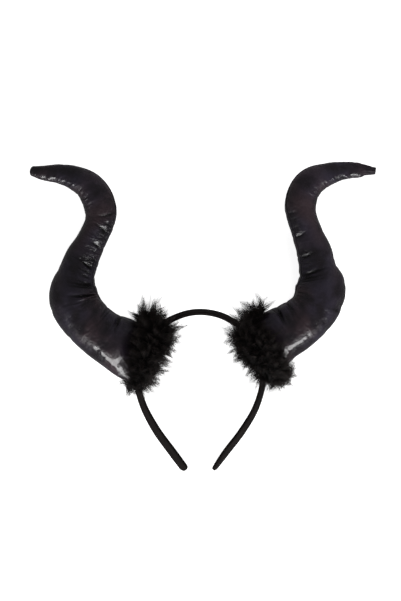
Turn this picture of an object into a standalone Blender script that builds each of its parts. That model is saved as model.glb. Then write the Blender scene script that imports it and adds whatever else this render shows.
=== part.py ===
"""Costume horn headband: a fabric-covered band, two stuffed horns and two fluffy trims.

Units are metres.  +X runs across the front to the photo's right, +Y from the band's
ends to its top, and +Z out of the front.  The piece lies on its back on z = 0.
"""
import math
import random

import bmesh
import bpy
from mathutils import Vector
from mathutils.bvhtree import BVHTree
from mathutils.kdtree import KDTree

# Driving sizes of the band
BAND_SPAN = 0.1165
BAND_HEIGHT = 0.1495
STRIP_WIDTH = 0.010
STRIP_THICKNESS = 0.0032
STRIP_CORNER = 0.0009
STRIP_PITCH = 0.0075
STRIP_END_LENGTH = 0.0042
STRIP_END_STEPS = 3
STRIP_END_BLUNTNESS = 0.35
STRIP_END_THINNEST = 0.7
STRIP_CORNER_LIMIT = 0.6

# Driving sizes of the horns
HORN_REACH_LEFT = 0.1050
HORN_REACH_RIGHT = 0.1095
HORN_RISE = 0.1655
HORN_WIDTH = 0.0548
HORN_DEPTH = 0.0415
HORN_RING_PITCH = 0.0048
HORN_RING_POINTS = 24
SEAM_RIDGE = 0.0004
FOLD_DEPTH = 0.0026
FOLD_FADE = 0.7
FOLD_AT_SEAM = 0.3
FOLD_FULL_FROM = 0.4
LEAST_HALF_SECTION = 0.0004
LEFT_TIP_ROUND = 0.0030
LEFT_TIP_NARROWING = 0.72
LEFT_TIP_SHOULDER = 0.75
RIGHT_TIP_DENT = 0.0012
PLEAT_DEPTH = 0.0004

# Driving sizes of the trims
CORE_RADIUS = 0.0058
CORE_LEAST_RADIUS = 0.0016
CORE_STATIONS = 24
CORE_SIDES = 8
LOCK_LEAST_LENGTH = 0.0035
LOCK_MIDDLE = 0.42
LOCK_MIDDLE_WIDTH = 0.58
LOCK_TIP_WIDTH = 0.16
LOCK_JITTER = 0.28
LOCK_TWIST = 0.22
LOCK_TRIES = 14
LOCK_ROOT_SHARE = 0.22
LOCK_PACKING = 0.82
LOCK_STEP = 0.0008
LOCK_SEED = 7
LOWEST_LOCK_NORMAL = -0.6

# Clearance between neighbouring pieces, and the block that cuts a horn's seat
CLEARANCE = 0.00035
SEAT_REACH = 0.020
SEAT_DEPTH = 0.030
SEAT_STEPS_EACH_WAY = 7

# What counts as lying on the floor, as the same place, and as a sharp edge
FLOOR_SKIN = 0.000001
SAME_PLACE = 0.000000001
SHARP_ANGLE = 50
FRONT = Vector((0.0, 0.0, 1.0))

# Band stations from the left end over the top to the right end.
# across: share of half the span, up: share of the height, roll: degrees that the
# strip's broad side is turned to the front
BAND_ROWS = (
    (-0.258, 0.034, 44),
    (-0.416, 0.118, 47),
    (-0.70, 0.276, 43),
    (-0.906, 0.440, 31),
    (-0.985, 0.590, 25),
    (-0.955, 0.724, 21),
    (-0.82, 0.831, 17),
    (-0.63, 0.910, 14),
    (-0.39, 0.964, 13),
    (-0.17, 0.993, 12),
    (0.03, 1.000, 11),
    (0.23, 0.990, 12),
    (0.40, 0.968, 13),
    (0.60, 0.920, 14),
    (0.79, 0.852, 15),
    (0.93, 0.762, 18),
    (1.00, 0.640, 20),
    (0.99, 0.540, 23),
    (0.881, 0.398, 29),
    (0.678, 0.260, 35),
    (0.408, 0.118, 34),
    (0.262, 0.036, 22),
)

# Where each horn is rooted: the share of the band's height at its middle, and how
# high its middle lies there, share of the horn's depth
ROOT_LIFT = 0.52
LEFT_ROOT_UP = 0.757
RIGHT_ROOT_UP = 0.757

# Horn sections from the root to the tip.
# out: share of the reach, away from the band; up: share of the rise; wide: share of
# the horn's width; deep: share of its depth; lift: height of its middle, share of
# the depth
LEFT_HORN_ROWS = (
    (-0.05, -0.035, 0.88, 0.34, ROOT_LIFT),
    (0.04, -0.012, 0.95, 0.51, ROOT_LIFT),
    (0.17, 0.036, 0.93, 0.96, 0.47),
    (0.34, 0.097, 0.83, 1.00, 0.46),
    (0.51, 0.201, 0.82, 0.98, 0.45),
    (0.577, 0.281, 0.84, 0.95, 0.44),
    (0.581, 0.360, 0.775, 0.86, 0.40),
    (0.551, 0.437, 0.59, 0.72, 0.33),
    (0.505, 0.528, 0.575, 0.64, 0.29),
    (0.431, 0.618, 0.505, 0.60, 0.275),
    (0.361, 0.717, 0.50, 0.60, 0.275),
    (0.345, 0.780, 0.52, 0.60, 0.275),
    (0.385, 0.855, 0.53, 0.60, 0.275),
    (0.456, 0.919, 0.475, 0.57, 0.26),
    (0.57, 0.962, 0.40, 0.50, 0.23),
    (0.71, 0.987, 0.32, 0.41, 0.19),
    (0.86, 0.994, 0.238, 0.31, 0.145),
    (0.950, 1.004, 0.175, 0.23, 0.11),
)
RIGHT_HORN_ROWS = (
    (-0.06, -0.029, 0.88, 0.34, ROOT_LIFT),
    (0.03, 0.014, 0.93, 0.51, ROOT_LIFT),
    (0.167, 0.088, 0.90, 0.96, 0.47),
    (0.292, 0.136, 0.855, 1.00, 0.46),
    (0.431, 0.210, 0.80, 0.99, 0.455),
    (0.498, 0.286, 0.83, 0.95, 0.44),
    (0.516, 0.369, 0.835, 0.88, 0.405),
    (0.491, 0.462, 0.64, 0.74, 0.34),
    (0.465, 0.552, 0.595, 0.65, 0.30),
    (0.412, 0.650, 0.53, 0.60, 0.275),
    (0.365, 0.741, 0.51, 0.60, 0.275),
    (0.35, 0.805, 0.53, 0.60, 0.275),
    (0.377, 0.884, 0.52, 0.60, 0.275),
    (0.444, 0.942, 0.482, 0.57, 0.26),
    (0.58, 0.985, 0.375, 0.48, 0.22),
    (0.72, 1.006, 0.29, 0.36, 0.165),
    (0.835, 1.009, 0.245, 0.30, 0.14),
    (0.86, 1.008, 0.21, 0.27, 0.125),
    (0.988, 1.003, 0.12, 0.18, 0.085),
)

# Folds and dents that run in from a seam.
# along: share of the horn's length; side: 1 at the inner seam, -1 at the outer one;
# sink: share of the fold depth; reach: degrees round the horn from the seam;
# spread: half-width of the fold, share of the horn's length; slant: how far the fold
# runs on along the horn at its far end, share of the length
LEFT_FOLDS = (
    (0.155, 1, 1.00, 66, 0.016, -0.010),
    (0.235, 1, 0.85, 58, 0.014, -0.012),
    (0.345, 1, 1.00, 84, 0.015, 0.010),
    (0.405, 1, 0.70, 60, 0.013, 0.012),
    (0.480, 1, 0.55, 48, 0.012, 0.006),
    (0.560, 1, 0.50, 50, 0.012, 0.006),
    (0.640, 1, 0.50, 44, 0.012, 0.000),
    (0.250, -1, 0.65, 52, 0.015, 0.010),
    (0.330, -1, 0.60, 48, 0.014, 0.008),
    (0.430, -1, 0.45, 40, 0.012, 0.000),
    (0.730, -1, 0.50, 48, 0.012, 0.006),
    (0.800, -1, 0.45, 44, 0.012, 0.004),
)
RIGHT_FOLDS = (
    (0.165, 1, 1.00, 72, 0.016, -0.012),
    (0.215, 1, 0.90, 62, 0.014, -0.012),
    (0.415, 1, 1.00, 84, 0.015, 0.010),
    (0.480, 1, 0.65, 52, 0.013, 0.008),
    (0.560, 1, 0.50, 46, 0.012, 0.004),
    (0.640, 1, 0.45, 44, 0.012, 0.000),
    (0.255, -1, 0.70, 50, 0.014, 0.008),
    (0.315, -1, 0.85, 56, 0.014, 0.010),
    (0.370, -1, 0.60, 48, 0.013, 0.006),
    (0.460, -1, 0.45, 40, 0.012, 0.000),
    (0.720, -1, 0.50, 50, 0.012, 0.006),
    (0.800, -1, 0.45, 44, 0.012, 0.004),
)
RIGHT_PLEATS_FROM = 0.94

# Route of a trim's core round the horn's base.
# across: share of the horn's width, along the base seam towards the horn's inner
# edge; out: share of the width, along the horn away from the band; front: share of
# the horn's depth, out of the front
LEFT_CORE_ROWS = (
    (0.00, -0.12, 0.45),
    (0.30, -0.12, 0.44),
    (0.52, -0.04, 0.34),
    (0.58, 0.28, 0.00),
    (0.52, -0.02, -0.30),
    (0.30, -0.10, -0.42),
    (0.00, -0.12, -0.43),
    (-0.32, -0.12, -0.42),
    (-0.52, -0.05, -0.30),
    (-0.60, -0.02, 0.00),
    (-0.52, -0.08, 0.28),
    (-0.32, -0.14, 0.42),
)
RIGHT_CORE_ROWS = (
    (0.00, -0.12, 0.45),
    (0.28, -0.10, 0.44),
    (0.50, 0.00, 0.34),
    (0.58, 0.28, 0.00),
    (0.50, 0.00, -0.30),
    (0.28, -0.08, -0.42),
    (0.00, -0.12, -0.43),
    (-0.32, -0.10, -0.42),
    (-0.54, -0.02, -0.30),
    (-0.62, 0.03, 0.00),
    (-0.54, -0.02, 0.28),
    (-0.32, -0.10, 0.42),
)

# How far the locks stand off a core: the lengths away from the horn, over the horn,
# towards its inner edge, towards its outer edge, out of the front and out of the back
LEFT_LOCK_REACH = {
    "inside": 0.0200,
    "outside": 0.0045,
    "up": 0.0150,
    "down": 0.0060,
    "front": 0.0130,
    "back": 0.0050,
}
RIGHT_LOCK_REACH = {
    "inside": 0.0135,
    "outside": 0.0080,
    "up": 0.0140,
    "down": 0.0080,
    "front": 0.0130,
    "back": 0.0050,
}

# How the locks are combed: what is added to their direction, across and up
LEFT_COMB = (0.00, 0.30)
RIGHT_COMB = (0.25, 0.22)


def clear_scene():
    """Remove every object that the file opens with."""
    for item in list(bpy.data.objects):
        bpy.data.objects.remove(item, do_unlink=True)


def add_material(name, color, roughness):
    """Make a plain material with the part's colour and roughness."""
    material = bpy.data.materials.new(name)
    material.use_nodes = True
    shader = material.node_tree.nodes["Principled BSDF"]
    shader.inputs["Base Color"].default_value = (*color, 1.0)
    shader.inputs["Roughness"].default_value = roughness
    shader.inputs["Metallic"].default_value = 0.0
    return material


def smooth_path(rows, scales, pitch):
    """Read a smooth curve through scaled rows, hitting every row.

    The first two columns and any further lengths are scaled by scales.  Between two
    rows the curve is cut into equal steps of about pitch.
    """
    points = [[value * scale for value, scale in zip(row, scales)] for row in rows]
    stations = []
    last = len(points) - 1
    for index in range(last):
        before = points[max(index - 1, 0)]
        start = points[index]
        end = points[index + 1]
        after = points[min(index + 2, last)]
        length = math.dist(start[:2], end[:2])
        steps = max(1, round(length / pitch))
        for step in range(steps):
            stations.append(curve_between(before, start, end, after, step / steps))
    stations.append(list(points[last]))
    return stations


def curve_between(before, start, end, after, share):
    """Point on a curve that passes start and end, leaning on the rows around them.

    Each row's direction is weighed by the distance to its neighbours, so that rows
    that stand close together don't overshoot.
    """
    gap_before = max(math.dist(before[:2], start[:2]), SAME_PLACE) ** 0.5
    gap = max(math.dist(start[:2], end[:2]), SAME_PLACE) ** 0.5
    gap_after = max(math.dist(end[:2], after[:2]), SAME_PLACE) ** 0.5
    square = share * share
    cube = square * share
    point = []
    for a, b, c, d in zip(before, start, end, after):
        slope_in = (c - b) / gap
        slope_start = slope_in
        if math.dist(before[:2], start[:2]) > SAME_PLACE:
            slope_start = (b - a) / gap_before - (c - a) / (gap_before + gap) + slope_in
        slope_end = slope_in
        if math.dist(end[:2], after[:2]) > SAME_PLACE:
            slope_end = slope_in - (d - b) / (gap + gap_after) + (d - c) / gap_after
        value = (
            (2 * cube - 3 * square + 1) * b
            + (cube - 2 * square + share) * slope_start * gap
            + (3 * square - 2 * cube) * c
            + (cube - square) * slope_end * gap
        )
        point.append(value)
    return point


def direction_at(places, index):
    """Unit direction of a run of places at one of them."""
    ahead = places[min(index + 1, len(places) - 1)]
    behind = places[max(index - 1, 0)]
    return (ahead - behind).normalized()


def loft(name, rings, start_cap=0.0, end_cap=0.0):
    """Make one closed body through rings of equal counts of points.

    Each end is closed by a fan whose middle stands off its ring by the cap's length.
    """
    mesh = bmesh.new()
    rows = [[mesh.verts.new(point) for point in ring] for ring in rings]
    count = len(rows[0])
    for near, far in zip(rows, rows[1:]):
        for index in range(count):
            following = (index + 1) % count
            mesh.faces.new((near[index], near[following], far[following], far[index]))
    ends = ((rings[0], rings[1], rows[0], start_cap), (rings[-1], rings[-2], rows[-1], end_cap))
    for ring, neighbour, row, stand in ends:
        middle = sum(ring, Vector()) / count
        outward = (middle - sum(neighbour, Vector()) / count).normalized()
        pole = mesh.verts.new(middle + outward * stand)
        for index in range(count):
            mesh.faces.new((row[(index + 1) % count], row[index], pole))
    bmesh.ops.recalc_face_normals(mesh, faces=mesh.faces)
    return mesh_object(name, mesh)


def mesh_object(name, mesh):
    """Turn a bmesh into an object, smooth apart from its sharp edges."""
    data = bpy.data.meshes.new(name)
    mesh.to_mesh(data)
    mesh.free()
    data.shade_smooth()
    data.set_sharp_from_angle(angle=math.radians(SHARP_ANGLE))
    return bpy.data.objects.new(name, data)


class Band:
    """The headband's strip: its stations, its frame at each and where horns sit."""

    def __init__(self):
        scales = (BAND_SPAN / 2, BAND_HEIGHT, 1.0)
        self.stations = smooth_path(BAND_ROWS, scales, STRIP_PITCH)
        self.root_height = HORN_DEPTH * ROOT_LIFT
        end_rolls = [math.radians(row[2]) for row in (BAND_ROWS[0], BAND_ROWS[-1])]
        end_height = max(
            STRIP_WIDTH / 2 * math.cos(roll) + STRIP_THICKNESS / 2 * math.sin(roll) for roll in end_rolls
        )
        self.lowest_up = min(up for _, up, _ in self.stations)
        rise = LEFT_ROOT_UP * BAND_HEIGHT - self.lowest_up
        self.tilt = math.asin((self.root_height - end_height) / rise)
        self.end_height = end_height
        self.places = [self.raise_point(across, up) for across, up, _ in self.stations]

    def raise_point(self, across, up):
        """Put a flat place of the band on its tilted plane, ends on the floor."""
        height = self.end_height + (up - self.lowest_up) * math.sin(self.tilt)
        return Vector((across, up * math.cos(self.tilt), height))

    def frame(self, index):
        """Outward, broad and thin directions of the strip at a station."""
        along = direction_at(self.places, index)
        plane_normal = Vector((0.0, -math.sin(self.tilt), math.cos(self.tilt)))
        outward = plane_normal.cross(along).normalized()
        if outward.dot(self.places[index] - self.middle()) < 0:
            outward.negate()
        roll = math.radians(self.stations[index][2])
        broad = plane_normal * math.cos(roll) - outward * math.sin(roll)
        thin = outward * math.cos(roll) + plane_normal * math.sin(roll)
        return broad, thin

    def middle(self):
        """A place well inside the arc."""
        return self.raise_point(0.0, BAND_HEIGHT / 2)

    def root(self, side, up_share):
        """Place on the strip's middle line at a share of the height, side -1 or 1."""
        wanted = up_share * BAND_HEIGHT
        for index in range(len(self.stations) - 1):
            across, up, _ = self.stations[index]
            following = self.stations[index + 1][1]
            if across * side > 0 and (up - wanted) * (following - wanted) <= 0:
                share = (wanted - up) / (following - up)
                return self.places[index].lerp(self.places[index + 1], share), index
        raise ValueError("the horn's root lies past the end of the band")

    def build(self):
        """Loft the strip, its ends rounded in its broad direction."""
        rings = []
        last = len(self.stations) - 1
        for step in range(STRIP_END_STEPS, 0, -1):
            rings.append(self.end_ring(0, step / (STRIP_END_STEPS + STRIP_END_BLUNTNESS)))
        for index in range(last + 1):
            broad, thin = self.frame(index)
            rings.append(strip_ring(self.places[index], broad, thin, STRIP_WIDTH, STRIP_THICKNESS))
        for step in range(1, STRIP_END_STEPS + 1):
            rings.append(self.end_ring(last, step / (STRIP_END_STEPS + STRIP_END_BLUNTNESS)))
        return loft("headband", rings)

    def end_ring(self, index, share):
        """Ring past an end of the strip, narrowed along a round."""
        along = direction_at(self.places, index)
        if index == 0:
            along.negate()
        broad, thin = self.frame(index)
        narrowing = math.sqrt(1.0 - share * share)
        place = self.places[index] + along * (share * STRIP_END_LENGTH)
        thickness = STRIP_THICKNESS * (STRIP_END_THINNEST + (1.0 - STRIP_END_THINNEST) * narrowing)
        return strip_ring(place, broad, thin, STRIP_WIDTH * narrowing, thickness)

    def seat_cutter(self, name, centre_index):
        """Block that follows the strip's outer face, for the seat of a horn's root."""
        low = max(centre_index - SEAT_STEPS_EACH_WAY, 0)
        high = min(centre_index + SEAT_STEPS_EACH_WAY, len(self.places) - 1)
        rings = []
        for index in range(low, high + 1):
            broad, thin = self.frame(index)
            face = self.places[index] + thin * (STRIP_THICKNESS / 2 + CLEARANCE)
            back = self.places[index] - thin * SEAT_REACH
            rings.append([
                face + broad * SEAT_DEPTH,
                back + broad * SEAT_DEPTH,
                back - broad * SEAT_DEPTH,
                face - broad * SEAT_DEPTH,
                face - broad * (STRIP_WIDTH / 2 + CLEARANCE),
                face + broad * (STRIP_WIDTH / 2 + CLEARANCE),
            ])
        cutter = loft(name, rings)
        cutter.hide_render = True
        cutter.display_type = "WIRE"
        return cutter


def strip_ring(place, broad, thin, width, thickness):
    """Eight points round a strip: a rectangle with its corners taken off."""
    half_width = width / 2
    half_thickness = thickness / 2
    corner = min(STRIP_CORNER, half_width * STRIP_CORNER_LIMIT, half_thickness * STRIP_CORNER_LIMIT)
    offsets = (
        (half_width - corner, half_thickness),
        (-half_width + corner, half_thickness),
        (-half_width, half_thickness - corner),
        (-half_width, -half_thickness + corner),
        (-half_width + corner, -half_thickness),
        (half_width - corner, -half_thickness),
        (half_width, -half_thickness + corner),
        (half_width, half_thickness - corner),
    )
    return [place + broad * a + thin * b for a, b in offsets]


class Horn:
    """A stuffed two-panel horn: sections along a bent middle line, seams and folds."""

    def __init__(self, name, side, root, rows, reach, folds):
        self.name = name
        self.side = side
        self.folds = folds
        scales = (side * reach, HORN_RISE, HORN_WIDTH, HORN_DEPTH, HORN_DEPTH)
        self.stations = smooth_path(rows, scales, HORN_RING_PITCH)
        self.places = [
            Vector((root.x + out, root.y + up, lift)) for out, up, _, _, lift in self.stations
        ]
        self.shares = self.length_shares()
        first, second, third = (
            Vector((root.x + row[0] * scales[0], root.y + row[1] * scales[1], row[4] * HORN_DEPTH))
            for row in rows[:3]
        )
        self.seat_place = second
        self.seat_out = Vector((third.x - first.x, third.y - first.y, 0.0)).normalized()

    def length_shares(self):
        """Share of the horn's length at each station."""
        lengths = [0.0]
        for here, following in zip(self.places, self.places[1:]):
            lengths.append(lengths[-1] + (following - here).length)
        return [length / lengths[-1] for length in lengths]

    def inner_direction(self, index):
        """Direction across the horn, towards its inner seam."""
        along = direction_at(self.places, index)
        flat = Vector((along.x, along.y, 0.0)).normalized()
        return Vector((flat.y, -flat.x, 0.0)) * -self.side

    def fold_sink(self, share, angle):
        """Depth of the folds at a share of the length and an angle from the inner seam."""
        sink = 0.0
        for along, side, depth, reach, spread, slant in self.folds:
            from_seam = abs(math.degrees(angle)) if side > 0 else 180.0 - abs(math.degrees(angle))
            if from_seam >= reach:
                continue
            run = from_seam / reach
            offset = (share - along - slant * run) / spread
            fade = math.cos(run * math.pi / 2) ** FOLD_FADE
            from_edge = math.sin(min(run / FOLD_FULL_FROM, 1.0) * math.pi / 2)
            fade *= FOLD_AT_SEAM + (1.0 - FOLD_AT_SEAM) * from_edge
            sink += depth * FOLD_DEPTH * math.exp(-offset * offset) * fade
        return sink

    def ring(self, index, scale=1.0, shift=0.0):
        """Points round one section, flattened where it meets the floor."""
        _, _, wide, deep, _ = self.stations[index]
        share = self.shares[index]
        inner = self.inner_direction(index)
        place = self.places[index] + direction_at(self.places, index) * shift
        points = []
        for number in range(HORN_RING_POINTS):
            angle = 2 * math.pi * number / HORN_RING_POINTS
            signed = angle if angle <= math.pi else angle - 2 * math.pi
            on_seam = number in (0, HORN_RING_POINTS // 2)
            sink = self.fold_sink(share, signed)
            if self.side > 0 and share > RIGHT_PLEATS_FROM:
                sink += PLEAT_DEPTH * (number % 2)
            half_wide = max(wide / 2 * scale - sink + SEAM_RIDGE * on_seam, LEAST_HALF_SECTION)
            half_deep = max(deep / 2 * scale - sink, LEAST_HALF_SECTION)
            point = place + inner * (half_wide * math.cos(angle)) + FRONT * (half_deep * math.sin(angle))
            point.z = max(point.z, 0.0)
            points.append(point)
        return points

    def build(self, cutter):
        """Loft the horn and cut the seat that fits it to the band."""
        rings = [self.ring(index) for index in range(len(self.places))]
        if self.side > 0:
            horn = loft(self.name, rings, end_cap=-RIGHT_TIP_DENT)
        else:
            last = len(self.places) - 1
            rings.append(self.ring(last, LEFT_TIP_NARROWING, LEFT_TIP_ROUND * LEFT_TIP_SHOULDER))
            horn = loft(self.name, rings, end_cap=LEFT_TIP_ROUND * (1.0 - LEFT_TIP_SHOULDER))
        seat = horn.modifiers.new("band_seat", "BOOLEAN")
        seat.operation = "DIFFERENCE"
        seat.solver = "EXACT"
        seat.object = cutter
        return horn


class Trim:
    """A fluffy trim: a soft core round a horn's base with locks fused to it."""

    def __init__(self, name, horn, rows, reach, comb, obstacles):
        self.name = name
        self.reach = reach
        self.comb = Vector((comb[0], comb[1], 0.0))
        self.obstacles = obstacles
        self.random = random.Random(f"{LOCK_SEED} {name}")
        self.taken = []
        self.base = horn.seat_place
        self.out = horn.seat_out
        self.across = Vector((self.out.y, -self.out.x, 0.0)) * -horn.side
        self.route = [self.place_of(row) for row in rows]

    def place_of(self, row):
        """Place of a core row in the part's frame."""
        across, out, front = row
        offset = self.across * (across * HORN_WIDTH) + self.out * (out * HORN_WIDTH)
        return self.base + offset + FRONT * (front * HORN_DEPTH)

    def core_place(self, share):
        """Place on the closed, smooth route of the core."""
        count = len(self.route)
        run = share % 1.0 * count
        index = int(run) % count
        step = run - int(run)
        before = self.route[(index - 1) % count]
        start = self.route[index]
        end = self.route[(index + 1) % count]
        after = self.route[(index + 2) % count]
        square = step * step
        cube = square * step
        return (
            start * (1.5 * cube - 2.5 * square + 1.0)
            + end * (2.0 * square + 0.5 * step - 1.5 * cube)
            + before * (square - 0.5 * cube - 0.5 * step)
            + after * (0.5 * cube - 0.5 * square)
        )

    def gap_to_others(self, point):
        """Distance from a point to the nearest neighbouring piece."""
        return min(tree.find_nearest(point)[3] for tree in self.obstacles)

    def core_rings(self):
        """Rings of the core, squeezed where it passes the horn and the band."""
        rings = []
        centre = sum(self.route, Vector()) / len(self.route)
        for station in range(CORE_STATIONS):
            share = station / CORE_STATIONS
            place = self.core_place(share)
            half_step = 0.25 / CORE_STATIONS
            along = (self.core_place(share + half_step) - self.core_place(share - half_step)).normalized()
            outward = place - centre
            outward -= along * outward.dot(along)
            outward.normalize()
            beside = along.cross(outward)
            room = self.gap_to_others(place) - 2 * CLEARANCE
            radius = max(min(CORE_RADIUS, room), CORE_LEAST_RADIUS)
            ring = []
            for side in range(CORE_SIDES):
                angle = 2 * math.pi * side / CORE_SIDES
                point = place + outward * (radius * math.cos(angle)) + beside * (radius * math.sin(angle))
                point.z = max(point.z, 0.0)
                ring.append(point)
            rings.append(ring)
        return rings

    def lock_direction(self, normal):
        """Direction of a lock: its face's normal, ruffled a little."""
        ruffle = Vector([self.random.uniform(-LOCK_TWIST, LOCK_TWIST) for _ in range(3)])
        return (normal + self.comb + ruffle).normalized()

    def lock_length(self, direction):
        """Length of a lock, blended from the reaches of the sides that it points to."""
        out = direction.dot(self.out)
        across = direction.dot(self.across)
        front = direction.z
        length = out * out * (self.reach["outside"] if out > 0 else self.reach["inside"])
        length += across * across * (self.reach["up"] if across > 0 else self.reach["down"])
        length += front * front * (self.reach["front"] if front > 0 else self.reach["back"])
        return length * (1.0 + self.random.uniform(-LOCK_JITTER, LOCK_JITTER))

    def free_length(self, start, direction, wanted, radius):
        """Length that a lock can have before it meets a neighbour, a lock or the floor."""
        locks = KDTree(len(self.taken))
        for number, (point, _) in enumerate(self.taken):
            locks.insert(point, number)
        locks.balance()
        steps = max(1, round(wanted / LOCK_STEP))
        for step in range(1, steps + 1):
            share = step / steps
            point = start + direction * (wanted * share)
            thick = radius * lock_width(share)
            blocked = self.gap_to_others(point) < thick + CLEARANCE or point.z < thick
            if share > LOCK_ROOT_SHARE and not blocked:
                for _, number, gap in locks.find_range(point, 2 * radius):
                    blocked = blocked or gap < (thick + self.taken[number][1]) * LOCK_PACKING
            if blocked:
                return wanted * (step - 1) / steps
        return wanted

    def plan_lock(self, face):
        """Choose the ruffled direction that leaves a lock the longest."""
        centre = face.calc_center_median()
        corner = max((vertex.co - centre).length for vertex in face.verts)
        best_direction = face.normal.copy()
        best_length = 0.0
        for _ in range(LOCK_TRIES):
            direction = self.lock_direction(face.normal)
            if centre.z < CORE_RADIUS and direction.z < 0.0:
                direction.z = 0.0
                direction.normalize()
            wanted = self.lock_length(direction)
            length = self.free_length(centre, direction, wanted, corner)
            if length > best_length:
                best_length = length
                best_direction = direction
        if best_length >= LOCK_LEAST_LENGTH:
            steps = max(1, round(best_length / LOCK_STEP))
            for step in range(1, steps + 1):
                share = step / steps
                point = centre + best_direction * (best_length * share)
                self.taken.append((point, corner * lock_width(share)))
        return best_direction, best_length

    def build(self):
        """Make the core and draw a tapering lock out of each outward face."""
        mesh = bmesh.new()
        rings = [[mesh.verts.new(point) for point in ring] for ring in self.core_rings()]
        outer_faces = []
        for station, ring in enumerate(rings):
            following = rings[(station + 1) % CORE_STATIONS]
            for side in range(CORE_SIDES):
                other = (side + 1) % CORE_SIDES
                face = mesh.faces.new((ring[side], following[side], following[other], ring[other]))
                turned_to_horn = CORE_SIDES // 2 - 1 <= side <= CORE_SIDES // 2
                if not turned_to_horn:
                    outer_faces.append(face)
        bmesh.ops.recalc_face_normals(mesh, faces=mesh.faces)
        mesh.faces.ensure_lookup_table()
        plans = []
        for face in outer_faces:
            face.normal_update()
            flat_on_floor = all(vertex.co.z < FLOOR_SKIN for vertex in face.verts)
            if flat_on_floor or face.normal.z < LOWEST_LOCK_NORMAL:
                continue
            direction, length = self.plan_lock(face)
            if length >= LOCK_LEAST_LENGTH:
                plans.append((face, direction, length))
        for face, direction, length in plans:
            self.draw_lock(mesh, face, direction, length)
        return mesh_object(self.name, mesh)

    def draw_lock(self, mesh, face, direction, length):
        """Draw one lock out of a face in two tapering lengths."""
        for share, width in ((LOCK_MIDDLE, LOCK_MIDDLE_WIDTH), (1.0 - LOCK_MIDDLE, LOCK_TIP_WIDTH)):
            face = bmesh.ops.extrude_discrete_faces(mesh, faces=[face])["faces"][0]
            centre = face.calc_center_median()
            for vertex in face.verts:
                vertex.co = centre + (vertex.co - centre) * width + direction * (length * share)


def lock_width(share):
    """Width of a lock at a share of its length, as a share of its root's width."""
    if share < LOCK_MIDDLE:
        return 1.0 - (1.0 - LOCK_MIDDLE_WIDTH) * share / LOCK_MIDDLE
    past_middle = (share - LOCK_MIDDLE) / (1.0 - LOCK_MIDDLE)
    return LOCK_MIDDLE_WIDTH * (1.0 - (1.0 - LOCK_TIP_WIDTH) * past_middle)


def tree_of(item):
    """Search tree of an object's evaluated surface."""
    graph = bpy.context.evaluated_depsgraph_get()
    return BVHTree.FromObject(item, graph)


def link(collection, item, material=None):
    """Put an object in a collection and give it its material."""
    collection.objects.link(item)
    if material:
        item.data.materials.append(material)


def bounds_centre(items):
    """Middle of the evaluated objects' box on the floor."""
    graph = bpy.context.evaluated_depsgraph_get()
    points = []
    for item in items:
        shown = item.evaluated_get(graph)
        points += [shown.matrix_world @ Vector(corner) for corner in shown.bound_box]
    low = [min(point[axis] for point in points) for axis in range(3)]
    high = [max(point[axis] for point in points) for axis in range(3)]
    return Vector(((low[0] + high[0]) / 2, (low[1] + high[1]) / 2, low[2]))


def main():
    """Build the headband, the horns and the trims, and centre them on the floor."""
    clear_scene()
    parts = bpy.data.collections.new("horned_crown")
    cutters = bpy.data.collections.new("cutters")
    bpy.context.scene.collection.children.link(parts)
    bpy.context.scene.collection.children.link(cutters)
    band_cloth = add_material("band_cloth", (0.012, 0.010, 0.010), 0.75)
    horn_cloth = add_material("horn_cloth", (0.010, 0.009, 0.012), 0.35)
    fluff = add_material("fluff", (0.008, 0.007, 0.007), 0.90)

    band = Band()
    headband = band.build()
    link(parts, headband, band_cloth)
    pieces = [headband]
    plans = (
        ("left", -1, LEFT_ROOT_UP, LEFT_HORN_ROWS, HORN_REACH_LEFT, LEFT_FOLDS, LEFT_CORE_ROWS,
         LEFT_LOCK_REACH, LEFT_COMB),
        ("right", 1, RIGHT_ROOT_UP, RIGHT_HORN_ROWS, HORN_REACH_RIGHT, RIGHT_FOLDS, RIGHT_CORE_ROWS,
         RIGHT_LOCK_REACH, RIGHT_COMB),
    )
    for label, side, root_up, rows, reach, folds, core_rows, lock_reach, comb in plans:
        root, index = band.root(side, root_up)
        cutter = band.seat_cutter(f"seat_{label}", index)
        link(cutters, cutter)
        horn = Horn(f"horn_{label}", side, root, rows, reach, folds)
        horn_item = horn.build(cutter)
        link(parts, horn_item, horn_cloth)
        bpy.context.view_layer.update()
        obstacles = (tree_of(headband), tree_of(horn_item))
        fur_item = Trim(f"fur_{label}", horn, core_rows, lock_reach, comb, obstacles).build()
        link(parts, fur_item, fluff)
        pieces += [horn_item, fur_item]

    holder = bpy.data.objects.new("horned_crown_origin", None)
    parts.objects.link(holder)
    bpy.context.view_layer.update()
    offset = bounds_centre(pieces)
    for item in pieces + list(cutters.objects):
        item.parent = holder
    holder.location = -offset


if __name__ == "__main__":
    main()
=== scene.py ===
"""Looks of the costume horn headband: coated cloth horns, a cloth-covered band, fluffy trims.

Units are metres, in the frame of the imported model.  The piece lies on its back: +X runs
across the front, +Y from the band's ends towards the horns' tips, +Z out of the front.
"""

import logging
import math
from collections.abc import Callable
from dataclasses import dataclass, field
from enum import Enum

import bmesh
import bpy
import numpy as np
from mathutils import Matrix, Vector
from mathutils.bvhtree import BVHTree


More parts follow.
